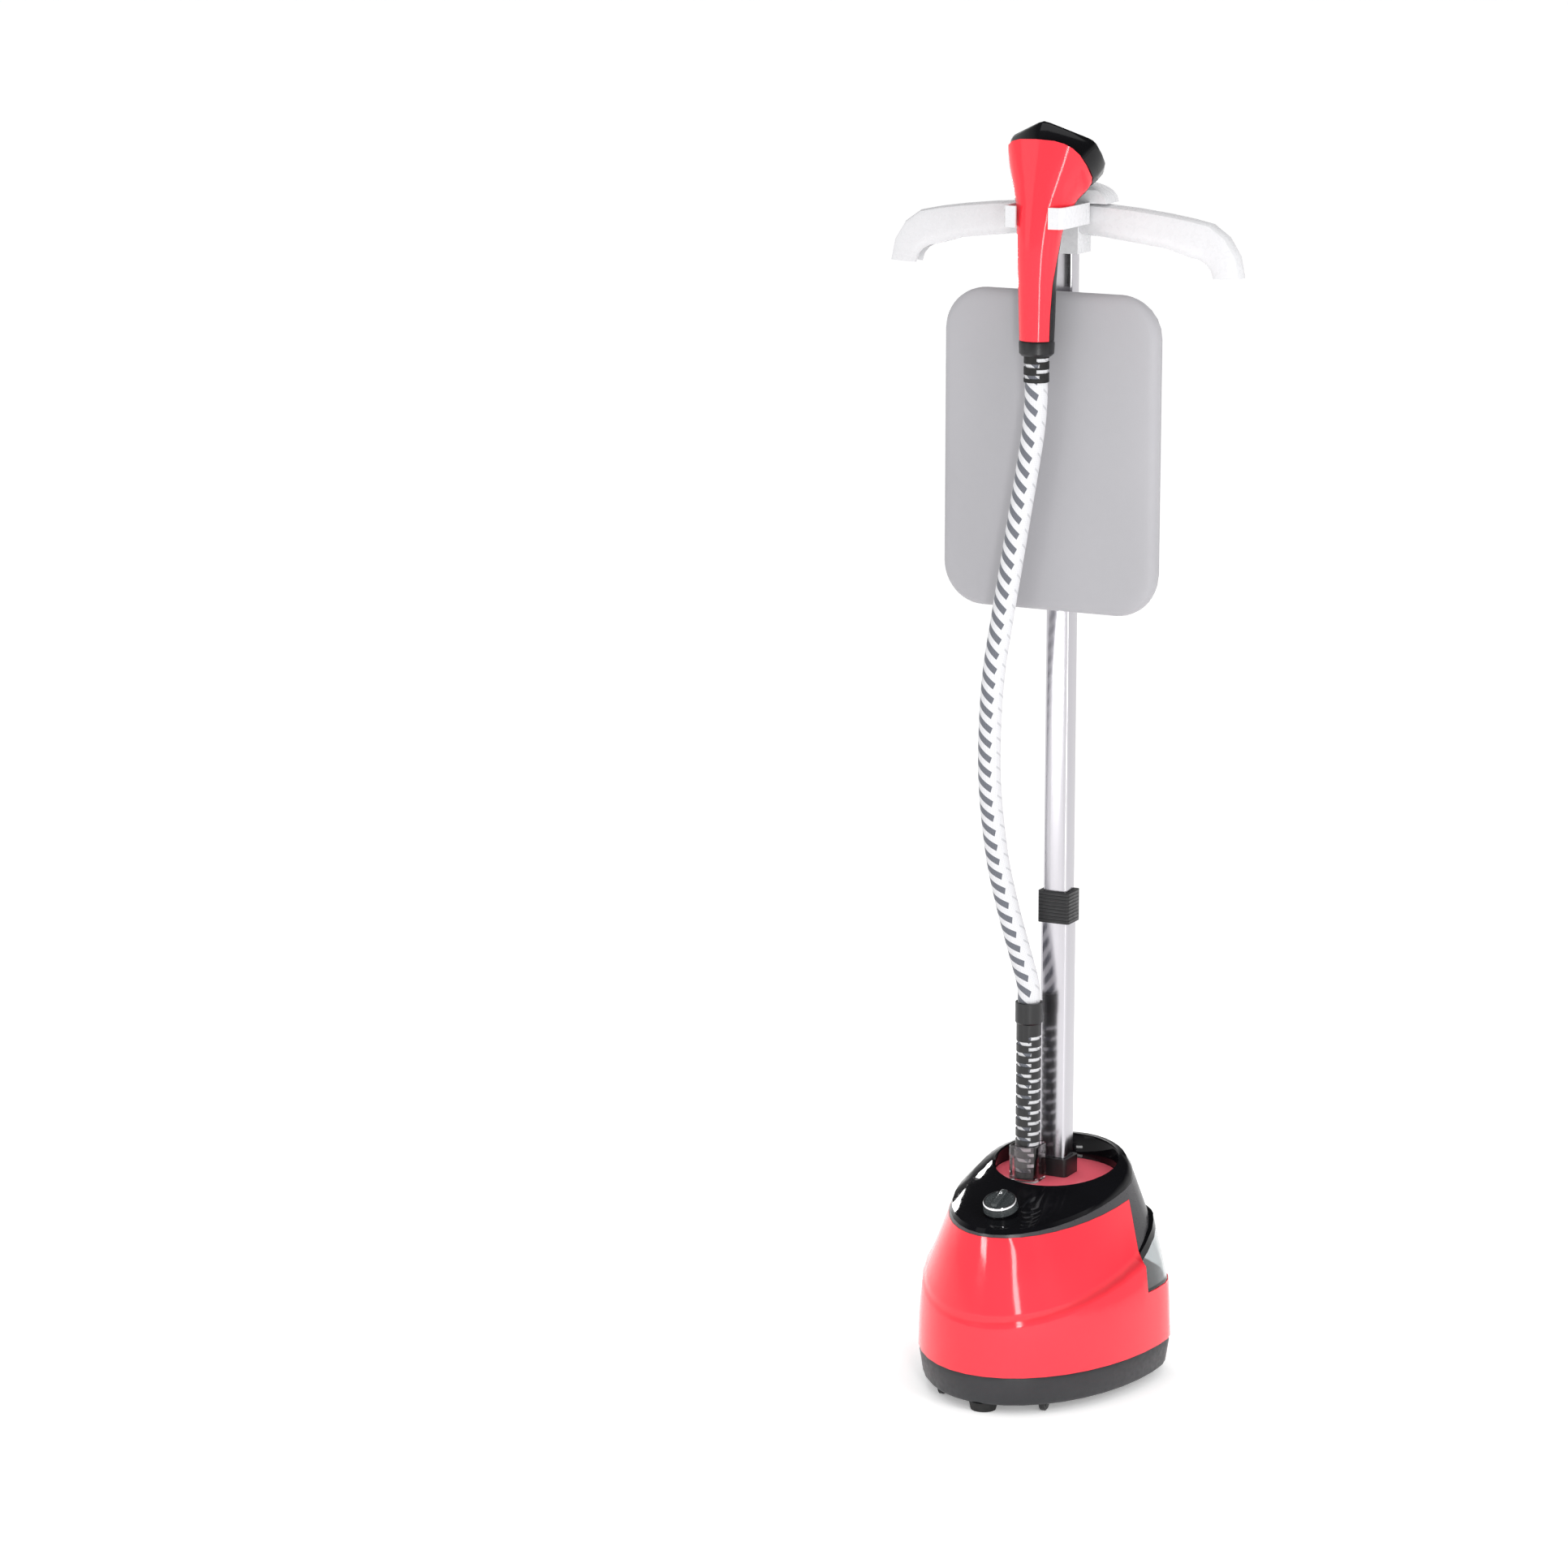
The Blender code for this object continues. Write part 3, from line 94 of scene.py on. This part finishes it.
# Crease in the red shell, and the painted shade along it
CREASE_Z, CREASE_SLOPE = 0.1533, 0.2455  # height at Y = 0, and rise towards the rear
CREASE_HALF_WIDTH, CREASE_DEPTH = 0.0085, 0.0012
CREASE_SHADE_FADE_X = 0.12  # the painted shade in the crease is darkest from here to the right

# Padded board cover
PAD_CORNER, PAD_LEAST_CORNER, PAD_CORNER_STEPS = 0.050, 0.002, 12
WEAVE_PITCH = 0.0009
PAD_SECTION = [  # inset from the outline, distance behind the front plane
    (0.0030, 0.0198), (0.0008, 0.0185), (0.0, 0.0155), (0.0, 0.0110), (0.0006, 0.0070), (0.0024, 0.0042),
    (0.0054, 0.0022), (0.0095, 0.0012), (0.0150, 0.0007), (0.0240, 0.0003), (0.0480, 0.0001),
]

# Shading of the faceted CAD nodes, with angles in degrees
WELD_DISTANCE, SMOOTH_ANGLE, PAD_SMOOTH_ANGLE = 0.00002, 38, 60

# Camera
VIEW_TURN = radians(27.4809)
VIEW_AZIMUTH = radians(24.4605)  # round the pole, from the front
VIEW_DISTANCE = 6.1856  # from the pole, level
VIEW_HEIGHT = 2.04266
VIEW_PITCH = radians(12.1431)
LENS_MM, SENSOR_MM = 122.858, 36
CLIP_END = 100

# Studio
FLOOR_REACH, FLOOR_GLOW = 120, 0.25
WORLD_STRENGTH = 0.85
GLOSS_RAMP = {"From Min": 0.15, "From Max": 0.42, "To Min": 0.90, "To Max": 0.04}  # by the direction's Z
MIDDLE = (0, 0, 0.8)
LIGHTS = [  # name, place, target, size, power in watts
    ("fill_right", (3.2, -1.2, 1.8), MIDDLE, (1.2, 2.4), 34),
    ("key_left", (-2.4, -2.6, 2.4), MIDDLE, (1.4, 2.4), 6),
    ("top", (0.2, -0.4, 3.6), MIDDLE, (1.6, 1.6), 10),
    ("strip_front", (1.12, -1.81, 0.95), (0.04, -0.14, 0.95), (0.22, 1.6), 13),
    ("window_rear", (-1.14, 1.24, 1.12), (-0.05, -0.09, 0.225), (0.13, 0.17), 3),
    ("window_front", (-0.82, -1.96, 0.44), (0.0, -0.145, 0.19), (0.50, 0.10), 2.6),
]
UNREFLECTED = {"fill_right"}


# Materials ---------------------------------------------------------------------------------------

class Shade:
    """A Principled material and the few nodes that vary it."""

    def __init__(self, name, color, roughness, metallic=0.0, **constants):
        self.material = bpy.data.materials.new(name)
        self.material.use_nodes = True
        self.tree = self.material.node_tree
        self.shader = self.tree.nodes["Principled BSDF"]
        self.shader.inputs["Base Color"].default_value = (*color, 1)
        self.shader.inputs["Roughness"].default_value = roughness
        self.shader.inputs["Metallic"].default_value = metallic
        for socket, value in constants.items():
            self.shader.inputs[socket.replace("_", " ")].default_value = value
        self.material.diffuse_color = (*color, 1)

    def node(self, kind, inputs=None, **settings):
        node = self.tree.nodes.new("ShaderNode" + kind)
        for key, value in settings.items():
            setattr(node, key, value)
        for key, value in (inputs or {}).items():
            self.feed(node.inputs[key], value)
        return node

    def feed(self, socket, value):
        """Link another node's output into a socket, or set the socket to a value."""
        if isinstance(value, bpy.types.NodeSocket):
            self.tree.links.new(value, socket)
        else:
            socket.default_value = value

    def math(self, operation, *values):
        return self.node("Math", dict(enumerate(values)), operation=operation).outputs[0]

    def place(self, stretch=(1, 1, 1)):
        coordinates = self.node("TexCoord")
        return self.node("Mapping", {"Vector": coordinates.outputs["Object"], "Scale": stretch}).outputs[0]

    def axes(self, vector=None):
        return self.node("SeparateXYZ", {"Vector": vector or self.place()}).outputs

    def noise(self, scale, detail=3.0, stretch=(1, 1, 1)):
        inputs = {"Vector": self.place(stretch), "Scale": scale, "Detail": detail}
        return self.node("TexNoise", inputs).outputs["Fac"]

    def wave(self, value, pitch):
        return self.math("SINE", self.math("MULTIPLY", value, 2 * pi / pitch))

    def ranged(self, value, low, high, source=(0.3, 0.7), **settings):
        inputs = {"Value": value, "From Min": source[0], "From Max": source[1], "To Min": low, "To Max": high}
        return self.node("MapRange", inputs, **settings).outputs["Result"]

    def mixed(self, factor, first, second):
        mix = self.node("Mix", {"Factor": factor}, data_type="RGBA")
        for key, value in (("A", first), ("B", second)):
            socket = next(s for s in mix.inputs if s.name == key and s.type == "RGBA")
            self.feed(socket, (*value, 1) if isinstance(value, tuple) else value)
        return next(s for s in mix.outputs if s.type == "RGBA")

    def set(self, socket, value):
        self.tree.links.new(value, self.shader.inputs[socket])

    def vary_color(self, fac, color, darkest, lightest):
        factor = self.ranged(fac, 0, 1)
        self.set("Base Color", self.mixed(factor, tinted(color, darkest), tinted(color, lightest)))

    def vary_roughness(self, fac, low, high):
        self.set("Roughness", self.ranged(fac, low, high))

    def bump(self, height, strength, distance, before=None):
        inputs = {"Height": height, "Strength": strength, "Distance": distance}
        if before:
            inputs["Normal"] = before
        normal = self.node("Bump", inputs).outputs[0]
        self.set("Normal", normal)
        return normal

    def polish(self, roughness):
        """Fine dust in the gloss and a slight waviness."""
        self.vary_roughness(self.noise(420.0, 4.0), roughness * 0.75, roughness * 1.5)
        return self.bump(self.noise(38.0, 1.0), 0.10, 0.0006)


def tinted(color, factor):
    return tuple(min(1.0, channel * factor) for channel in color)


def gloss_plastic(name, color, roughness, variation, **constants):
    """Polished moulding with a faint flow in the colour."""
    shade = Shade(name, color, roughness, **constants)
    shade.vary_color(shade.noise(9.0, 2.0), color, 1 - variation, 1 + variation)
    shade.polish(roughness)
    return shade.material


def satin_plastic(name, color, roughness, grain=1500.0, depth=0.00012, variation=0.10):
    """Spark-eroded moulding: fine grain in the surface, patchy sheen."""
    shade = Shade(name, color, roughness)
    shade.vary_color(shade.noise(24.0), color, 1 - variation, 1 + variation)
    shade.vary_roughness(shade.noise(160.0, 4.0), roughness * 0.85, roughness * 1.15)
    shade.bump(shade.noise(grain, 2.0), 0.35, depth)
    return shade.material


def brushed_metal(name, color, roughness, stretch=(900, 900, 5), streak=0.08):
    """Metal with fine lines along its length."""
    shade = Shade(name, color, roughness, 1.0)
    lines = shade.noise(1.0, 4.0, stretch)
    shade.vary_color(lines, color, 1 - streak, 1 + streak)
    shade.vary_roughness(lines, roughness * 0.8, roughness * 1.25)
    shade.bump(lines, 0.12, 0.00006)
    return shade.material


def clear_plastic(name, color, roughness=0.04):
    shade = Shade(name, color, roughness, Transmission_Weight=1.0, IOR=1.45)
    shade.vary_roughness(shade.noise(240.0), roughness * 0.5, roughness * 2.0)
    shade.bump(shade.noise(30.0, 1.0), 0.08, 0.0006)
    return shade.material


def coated_cloth(name, color):
    """Heat-reflecting cloth in the object's XZ plane: a very fine weave, smooth sheen, soft unevenness."""
    shade = Shade(name, color, 0.62, Sheen_Weight=0.15, Sheen_Roughness=0.5)
    axes = shade.axes()
    threads = shade.math("MULTIPLY", shade.wave(axes["X"], WEAVE_PITCH), shade.wave(axes["Z"], WEAVE_PITCH))
    height = shade.ranged(threads, 0, 1, (-1, 1))
    weave = shade.mixed(height, tinted(color, 0.93), tinted(color, 1.05))
    cloud = shade.ranged(shade.noise(2.2, 2.0, (1.6, 1, 0.8)), 0, 1, (0.35, 0.65))
    shade.set("Base Color", shade.mixed(cloud, weave, tinted(color, 1.12)))
    shade.vary_roughness(shade.noise(90.0), 0.55, 0.70)
    unevenness = shade.bump(shade.noise(9.0, 2.0), 0.20, 0.0015)
    shade.bump(height, 0.35, 0.00012, unevenness)
    return shade.material


def creased_shell(name, color, roughness):
    """Polished shell with a shallow channel along the crease that rises to the rear; painted shade darkens
    the channel, most towards the right.
    """
    shade = Shade(name, color, roughness)
    axes = shade.axes()
    crease = shade.math("MULTIPLY_ADD", axes["Y"], CREASE_SLOPE, CREASE_Z)
    away = shade.math("ABSOLUTE", shade.math("SUBTRACT", axes["Z"], crease))
    # Mask along the crease: it both dents the surface and carries the painted shade.
    groove_and_painted_shade = shade.ranged(away, 1.0, 0.0, (0.0, CREASE_HALF_WIDTH), interpolation_type="SMOOTHSTEP")
    flow = shade.ranged(shade.noise(9.0, 2.0), 0, 1)
    plain = shade.mixed(flow, tinted(color, 0.96), tinted(color, 1.04))
    # Painted shade: the crease is darkened more on the right than on the left, as the light falls there; the
    # shade colour is the red at half brightness.
    side = shade.ranged(axes["X"], 0.15, 0.75, (0.0, CREASE_SHADE_FADE_X))
    shade.set("Base Color", shade.mixed(shade.math("MULTIPLY", groove_and_painted_shade, side), plain, tinted(color, 0.50)))
    waviness = shade.polish(roughness)
    shade.bump(shade.math("SUBTRACT", 1.0, groove_and_painted_shade), 0.5, CREASE_DEPTH, waviness)
    return shade.material


def dash_mask(shade, u, v):
    """One where the hose is dark: a row of slanted dashes on each side, and a fainter, shorter one."""
    half = shade.math("FRACT", shade.math("MULTIPLY", u, 2.0))
    drop = shade.math("MULTIPLY", half, DASH_DROP)
    phase = shade.math("FRACT", shade.math("ADD", shade.math("DIVIDE", v, DASH_PITCH), drop))
    stripe = shade.math("LESS_THAN", phase, DASH_SHARE)
    begun = shade.math("GREATER_THAN", half, DASH_START)
    slanted_end = shade.math("ADD", DASH_END, shade.math("MULTIPLY", phase, DASH_SLANT))
    unfinished = shade.math("LESS_THAN", half, slanted_end)
    dash = shade.math("MULTIPLY", stripe, shade.math("MULTIPLY", begun, unfinished))
    short = shade.math("LESS_THAN", phase, GHOST_SHARE)
    ghost = shade.math("MULTIPLY", short, shade.math("GREATER_THAN", half, GHOST_START))
    return shade.math("MAXIMUM", dash, shade.math("MULTIPLY", ghost, GHOST_STRENGTH))


def hose_cloth(name):
    """Knitted sleeve: white with slanted grey dashes. U runs round the hose, V along it in metres."""
    white, grey = (0.69, 0.69, 0.71), (0.135, 0.142, 0.165)
    shade = Shade(name, white, 0.9, Sheen_Weight=0.3, Sheen_Roughness=0.4)
    axes = shade.axes(shade.node("UVMap", uv_map="UVMap").outputs[0])
    u, v = axes["X"], axes["Y"]
    ribs, loops = shade.wave(u, 1 / KNIT_RIBS), shade.wave(v, KNIT_PITCH)
    knit = shade.math("ADD", shade.math("MULTIPLY", ribs, 0.6), shade.math("MULTIPLY", loops, 0.4))
    height = shade.ranged(knit, 0, 1, (-1, 1))
    yarn = shade.mixed(shade.ranged(height, 0, 1, (0, 0.7)), tinted(white, 0.80), white)
    dark = shade.mixed(height, tinted(grey, 0.75), tinted(grey, 1.2))
    shade.set("Base Color", shade.mixed(dash_mask(shade, u, v), yarn, dark))
    shade.bump(height, 0.6, 0.00035)
    return shade.material


def ribbed(name, color, pitch, roughness=0.4):
    """Moulding with fine horizontal grip ribs."""
    shade = Shade(name, color, roughness)
    ribs = shade.ranged(shade.wave(shade.axes()["Z"], pitch), 0, 1, (-0.3, 0.9))
    grain = shade.noise(1500.0, 2.0)
    shade.vary_color(grain, color, 0.8, 1.3)
    shade.vary_roughness(shade.noise(160.0), roughness * 0.8, roughness * 1.2)
    shade.bump(ribs, 0.8, 0.0008, shade.bump(grain, 0.25, 0.0001))
    return shade.material


RED = gloss_plastic("red_gloss", (0.90, 0.026, 0.045), 0.09, 0.04)
SHELL = creased_shell("shell_red", (0.90, 0.026, 0.045), 0.09)
DECK = gloss_plastic("deck_gloss", (0.92, 0.14, 0.19), 0.10, 0.04)
PIANO = gloss_plastic("black_gloss", (0.004, 0.004, 0.005), 0.045, 0.3, Specular_IOR_Level=0.22)
HOUSING = gloss_plastic("housing_black", (0.006, 0.006, 0.007), 0.08, 0.3, Specular_IOR_Level=0.30)
COVER = satin_plastic("cover_satin", (0.045, 0.043, 0.047), 0.30)
TRAY = satin_plastic("tray_grain", (0.020, 0.021, 0.024), 0.45, 1100.0, 0.0002)
BLACK = satin_plastic("black_grain", (0.010, 0.010, 0.011), 0.34)
RUBBER = satin_plastic("rubber", (0.010, 0.010, 0.010), 0.7, 2200.0, 0.00008)
GRIP = satin_plastic("grip_black", (0.008, 0.008, 0.009), 0.42)
COLLAR = ribbed("collar_ribs", (0.012, 0.012, 0.013), 0.0042)
WHITE = satin_plastic("white_satin", (0.66, 0.66, 0.675), 0.28, 1800.0, 0.00002, 0.012)
TUBE = brushed_metal("tube_brushed", (0.56, 0.545, 0.575), 0.20, streak=0.04)
PIN = brushed_metal("pin_steel", (0.55, 0.55, 0.56), 0.3, (5, 900, 900))
SOLE = brushed_metal("sole_steel", (0.66, 0.66, 0.68), 0.24, (5, 700, 700))
BOILER = brushed_metal("boiler_cast", (0.50, 0.50, 0.52), 0.5, (300, 300, 300), 0.2)
CHROME = brushed_metal("rim_chrome", (0.93, 0.93, 0.95), 0.10, (60, 60, 60), 0.03)
KNOB = gloss_plastic("knob_face", (0.040, 0.046, 0.048), 0.22, 0.2)
CLEAR = clear_plastic("tank_clear", (0.66, 0.69, 0.70))
CUP = clear_plastic("cup_clear", (0.97, 0.90, 0.92))
BOARD = satin_plastic("board_back", (0.24, 0.24, 0.26), 0.5)
GREEN = satin_plastic("board_green", (0.02, 0.16, 0.06), 0.4)
SILICONE = satin_plastic("silicone", (0.72, 0.72, 0.70), 0.5)
PAD = coated_cloth("pad_cloth", (0.345, 0.34, 0.358))
HOSE = hose_cloth("hose_knit")

FINISH = {  # by the record's material slot
    "red_gloss": RED, "deck_red": DECK, "gloss_black": PIANO, "satin_cover": COVER, "tray_dark": TRAY,
    "matt_black": BLACK, "foot_rubber": RUBBER, "relief_rubber": RUBBER, "wheel_plastic": BLACK,
    "pin_steel": PIN, "clear_plastic": CLEAR, "tube_aluminium": TUBE, "boiler_aluminium": BOILER,
    "sole_steel": SOLE, "board_green": GREEN, "silicone": SILICONE, "white_plastic": WHITE,
    "knob_face": KNOB, "rim_chrome": CHROME, "hose_fabric": HOSE, "pad_fabric": PAD, "core_plastic": BOARD,
}
SPECIAL = {  # by node, where a node's finish differs from its slot's
    "body_shell": SHELL, "sole_housing": HOUSING, "head_grip": GRIP, "lower_collar": COLLAR,
    "upper_collar": COLLAR, "hose_socket": CUP,
}


def split_hard_edges(obj, degrees):
    split = obj.modifiers.new("hard_edges", "EDGE_SPLIT")
    split.split_angle = radians(degrees)


def smooth_normals(obj):
    """Weld the doubled corners, then shade smooth except across hard edges."""
    mesh = obj.data
    if "custom_normal" in mesh.attributes:
        mesh.attributes.remove(mesh.attributes["custom_normal"])
    mesh.polygons.foreach_set("use_smooth", [True] * len(mesh.polygons))
    weld = obj.modifiers.new("weld", "WELD")
    weld.merge_threshold = WELD_DISTANCE
    split_hard_edges(obj, SMOOTH_ANGLE)


def dress_nodes():
    for part in frame["record"]["subparts"]:
        obj = NODES[part["node"]]
        material = SPECIAL.get(part["node"], FINISH[part["material_slot"]])
        obj.data.materials.clear()
        obj.data.materials.append(material)
        smooth_normals(obj)


# Soft pieces -------------------------------------------------------------------------------------

def piece(name, bm, body, material):
    mesh = bpy.data.meshes.new(name)
    bmesh.ops.recalc_face_normals(bm, faces=bm.faces)
    bm.to_mesh(mesh)
    bm.free()
    mesh.polygons.foreach_set("use_smooth", [True] * len(mesh.polygons))
    obj = bpy.data.objects.new(name, mesh)
    bpy.context.scene.collection.objects.link(obj)
    mesh.materials.append(material)
    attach(obj, body)
    return obj


def catmull_rom(p0, p1, p2, p3, t):
    return 0.5 * (
        2 * p1 + (p2 - p0) * t + (2 * p0 - 5 * p1 + 4 * p2 - p3) * t ** 2
        + (3 * p1 - p0 - 3 * p2 + p3) * t ** 3
    )


def even_route(points, step):
    """Points at even steps along a Catmull-Rom curve through the given ones, and the curve's length."""
    places = [Vector(p) for p in points]
    padded = [2 * places[0] - places[1], *places, 2 * places[-1] - places[-2]]
    fine = []
    for k in range(len(places) - 1):
        for part in range(ROUTE_FINENESS):
            fine.append(catmull_rom(*padded[k : k + 4], part / ROUTE_FINENESS))
    fine.append(places[-1])
    lengths = [0.0]
    for first, second in zip(fine, fine[1:]):
        lengths.append(lengths[-1] + (second - first).length)
    count = round(lengths[-1] / step)
    route, at = [], 0
    for k in range(count + 1):
        wanted = lengths[-1] * k / count
        while at < len(fine) - 2 and lengths[at + 1] < wanted:
            at += 1
        share = (wanted - lengths[at]) / (lengths[at + 1] - lengths[at])
        route.append(fine[at].lerp(fine[at + 1], share))
    return route, lengths[-1]


def ring_round(bm, centre, tangent, sides):
    """Ring of vertices square to the tangent, starting at the viewer's left and passing the front first."""
    left = -Vector((cos(VIEW_TURN), sin(VIEW_TURN), 0))
    side = (left - tangent * left.dot(tangent)).normalized()
    front = side.cross(tangent)
    if front.y > 0:
        front = -front
    turns = [2 * pi * j / sides for j in range(sides)]
    return [bm.verts.new(centre + HOSE_RADIUS * (side * cos(turn) + front * sin(turn))) for turn in turns]


def hose_tube(route, start, sides):
    """Tube along a route, with U as the turn and V as the distance from the hose's root."""
    bm = bmesh.new()
    layer = bm.loops.layers.uv.new("UVMap")
    rings, along, travelled = [], [], start
    for k, centre in enumerate(route):
        before, after = route[max(0, k - 1)], route[min(len(route) - 1, k + 1)]
        if k:
            travelled += (centre - route[k - 1]).length
        along.append(travelled)
        rings.append(ring_round(bm, centre, (after - before).normalized(), sides))
    for k in range(len(rings) - 1):
        for j in range(sides):
            corners = ((k, j), (k, j + 1), (k + 1, j + 1), (k + 1, j))
            face = bm.faces.new([rings[ring][turn % sides] for ring, turn in corners])
            for loop, (ring, turn) in zip(face.loops, corners):
                loop[layer].uv = (turn / sides, along[ring])
    bm.faces.new(rings[0])
    bm.faces.new(rings[-1])
    return bm, travelled


def make_hose_root():
    """Straight stretch of the hose inside the slotted guard; returns its length."""
    root_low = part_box("hose_root")[0][2]
    heights = [root_low + (ROOT_TOP - root_low) * k / ROOT_STEPS for k in range(ROOT_STEPS + 1)]
    bm, length = hose_tube([Vector((HOSE_X, HOSE_Y, z)) for z in heights], 0.0, ROOT_SIDES)
    root = piece("hose_root_knit", bm, "base", HOSE)
    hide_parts("hose_root")
    return length


def make_hose():
    root_length = make_hose_root()
    route, length = even_route(HOSE_ROUTE, HOSE_STEP)
    bm, _ = hose_tube(route, root_length, HOSE_SIDES)
    hose = piece("hose_knit", bm, "base", HOSE)
    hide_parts("steam_hose")
    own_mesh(hose)


def pad_outline(low, high, inset):
    """Rounded rectangle in X and Z between two corners, drawn in by the inset."""
    middle, half_x, half_z = (low[2] + high[2]) / 2, (high[0] - low[0]) / 2, (high[2] - low[2]) / 2
    radius = max(PAD_LEAST_CORNER, PAD_CORNER - inset)
    row = []
    for side_x, side_z, start in ((1, 1, 0), (-1, 1, 90), (-1, -1, 180), (1, -1, 270)):
        for k in range(PAD_CORNER_STEPS + 1):
            angle = radians(start + 90 * k / PAD_CORNER_STEPS)
            x = side_x * (half_x - inset - radius) + radius * cos(angle)
            z = middle + side_z * (half_z - inset - radius) + radius * sin(angle)
            row.append((x, z))
    return row


def make_pad():
    """Padded board cover: a slightly crowned face with a soft rounded edge."""
    low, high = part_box("board_pad")
    bm = bmesh.new()
    rows = []
    for inset, depth in PAD_SECTION:
        rows.append([bm.verts.new((x, low[1] + depth, z)) for x, z in pad_outline(low, high, inset)])
    for first, second in zip(rows, rows[1:]):
        for j in range(len(first)):
            following = (j + 1) % len(first)
            bm.faces.new((first[j], first[following], second[following], second[j]))
    bm.faces.new(rows[0])
    bm.faces.new(rows[-1])
    pad = piece("pad_cover", bm, "board", PAD)
    split_hard_edges(pad, PAD_SMOOTH_ANGLE)
    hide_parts("board_pad")


# Stage -------------------------------------------------------------------------------------------

def make_stage():
    bm = bmesh.new()
    bmesh.ops.create_grid(bm, x_segments=1, y_segments=1, size=FLOOR_REACH)
    mesh = bpy.data.meshes.new("floor")
    bm.to_mesh(mesh)
    bm.free()
    floor = bpy.data.objects.new("floor", mesh)
    bpy.context.scene.collection.objects.link(floor)
    glow = {"Emission_Color": (1, 1, 1, 1), "Emission_Strength": FLOOR_GLOW}
    shade = Shade("floor_pale", (0.95, 0.95, 0.95), 0.9, **glow)
    shade.set("Base Color", shade.mixed(shade.noise(0.8, 2.0), (0.94, 0.94, 0.94), (0.96, 0.96, 0.96)))
    mesh.materials.append(shade.material)


def area_light(name, place, target, size, power):
    data = bpy.data.lights.new(name, "AREA")
    data.shape = "RECTANGLE"
    data.size, data.size_y = size
    data.energy = power
    light = bpy.data.objects.new(name, data)
    light.location = place
    light.rotation_euler = (Vector(target) - Vector(place)).to_track_quat("-Z", "Y").to_euler()
    light.visible_glossy = name not in UNREFLECTED
    bpy.context.scene.collection.objects.link(light)


def make_world():
    """Even white light; gloss sees a bright horizon and a dark ceiling, as between studio flats."""
    world = bpy.data.worlds.new("studio")
    bpy.context.scene.world = world
    world.use_nodes = True
    tree = world.node_tree
    output, even = tree.nodes["World Output"], tree.nodes["Background"]
    even.inputs["Color"].default_value = (1, 1, 1, 1)
    even.inputs["Strength"].default_value = WORLD_STRENGTH
    place = tree.nodes.new("ShaderNodeTexCoord")
    split = tree.nodes.new("ShaderNodeSeparateXYZ")
    ramp = tree.nodes.new("ShaderNodeMapRange")
    for key, value in GLOSS_RAMP.items():
        ramp.inputs[key].default_value = value
    gloss = tree.nodes.new("ShaderNodeBackground")
    path = tree.nodes.new("ShaderNodeLightPath")
    mix = tree.nodes.new("ShaderNodeMixShader")
    for start, end in (
        (place.outputs["Generated"], split.inputs[0]),
        (split.outputs["Z"], ramp.inputs["Value"]),
        (ramp.outputs[0], gloss.inputs["Strength"]),
        (path.outputs["Is Glossy Ray"], mix.inputs[0]),
        (even.outputs[0], mix.inputs[1]),
        (gloss.outputs[0], mix.inputs[2]),
        (mix.outputs[0], output.inputs[0]),
    ):
        tree.links.new(start, end)


def make_lights():
    make_world()
    for light in LIGHTS:
        area_light(*light)
    bpy.context.scene.view_settings.view_transform = "Standard"


def make_camera():
    data = bpy.data.cameras.new("camera")
    data.sensor_width = SENSOR_MM
    data.lens = LENS_MM
    data.clip_end = CLIP_END
    camera = bpy.data.objects.new("camera", data)
    camera.location = (
        VIEW_DISTANCE * sin(VIEW_AZIMUTH), POLE_Y - VIEW_DISTANCE * cos(VIEW_AZIMUTH), VIEW_HEIGHT,
    )
    camera.rotation_euler = (radians(90) - VIEW_PITCH, 0, VIEW_TURN)
    bpy.context.scene.collection.objects.link(camera)
    bpy.context.scene.camera = camera


make_camera()
dress_nodes()
make_hose()
make_pad()
make_stage()
make_lights()
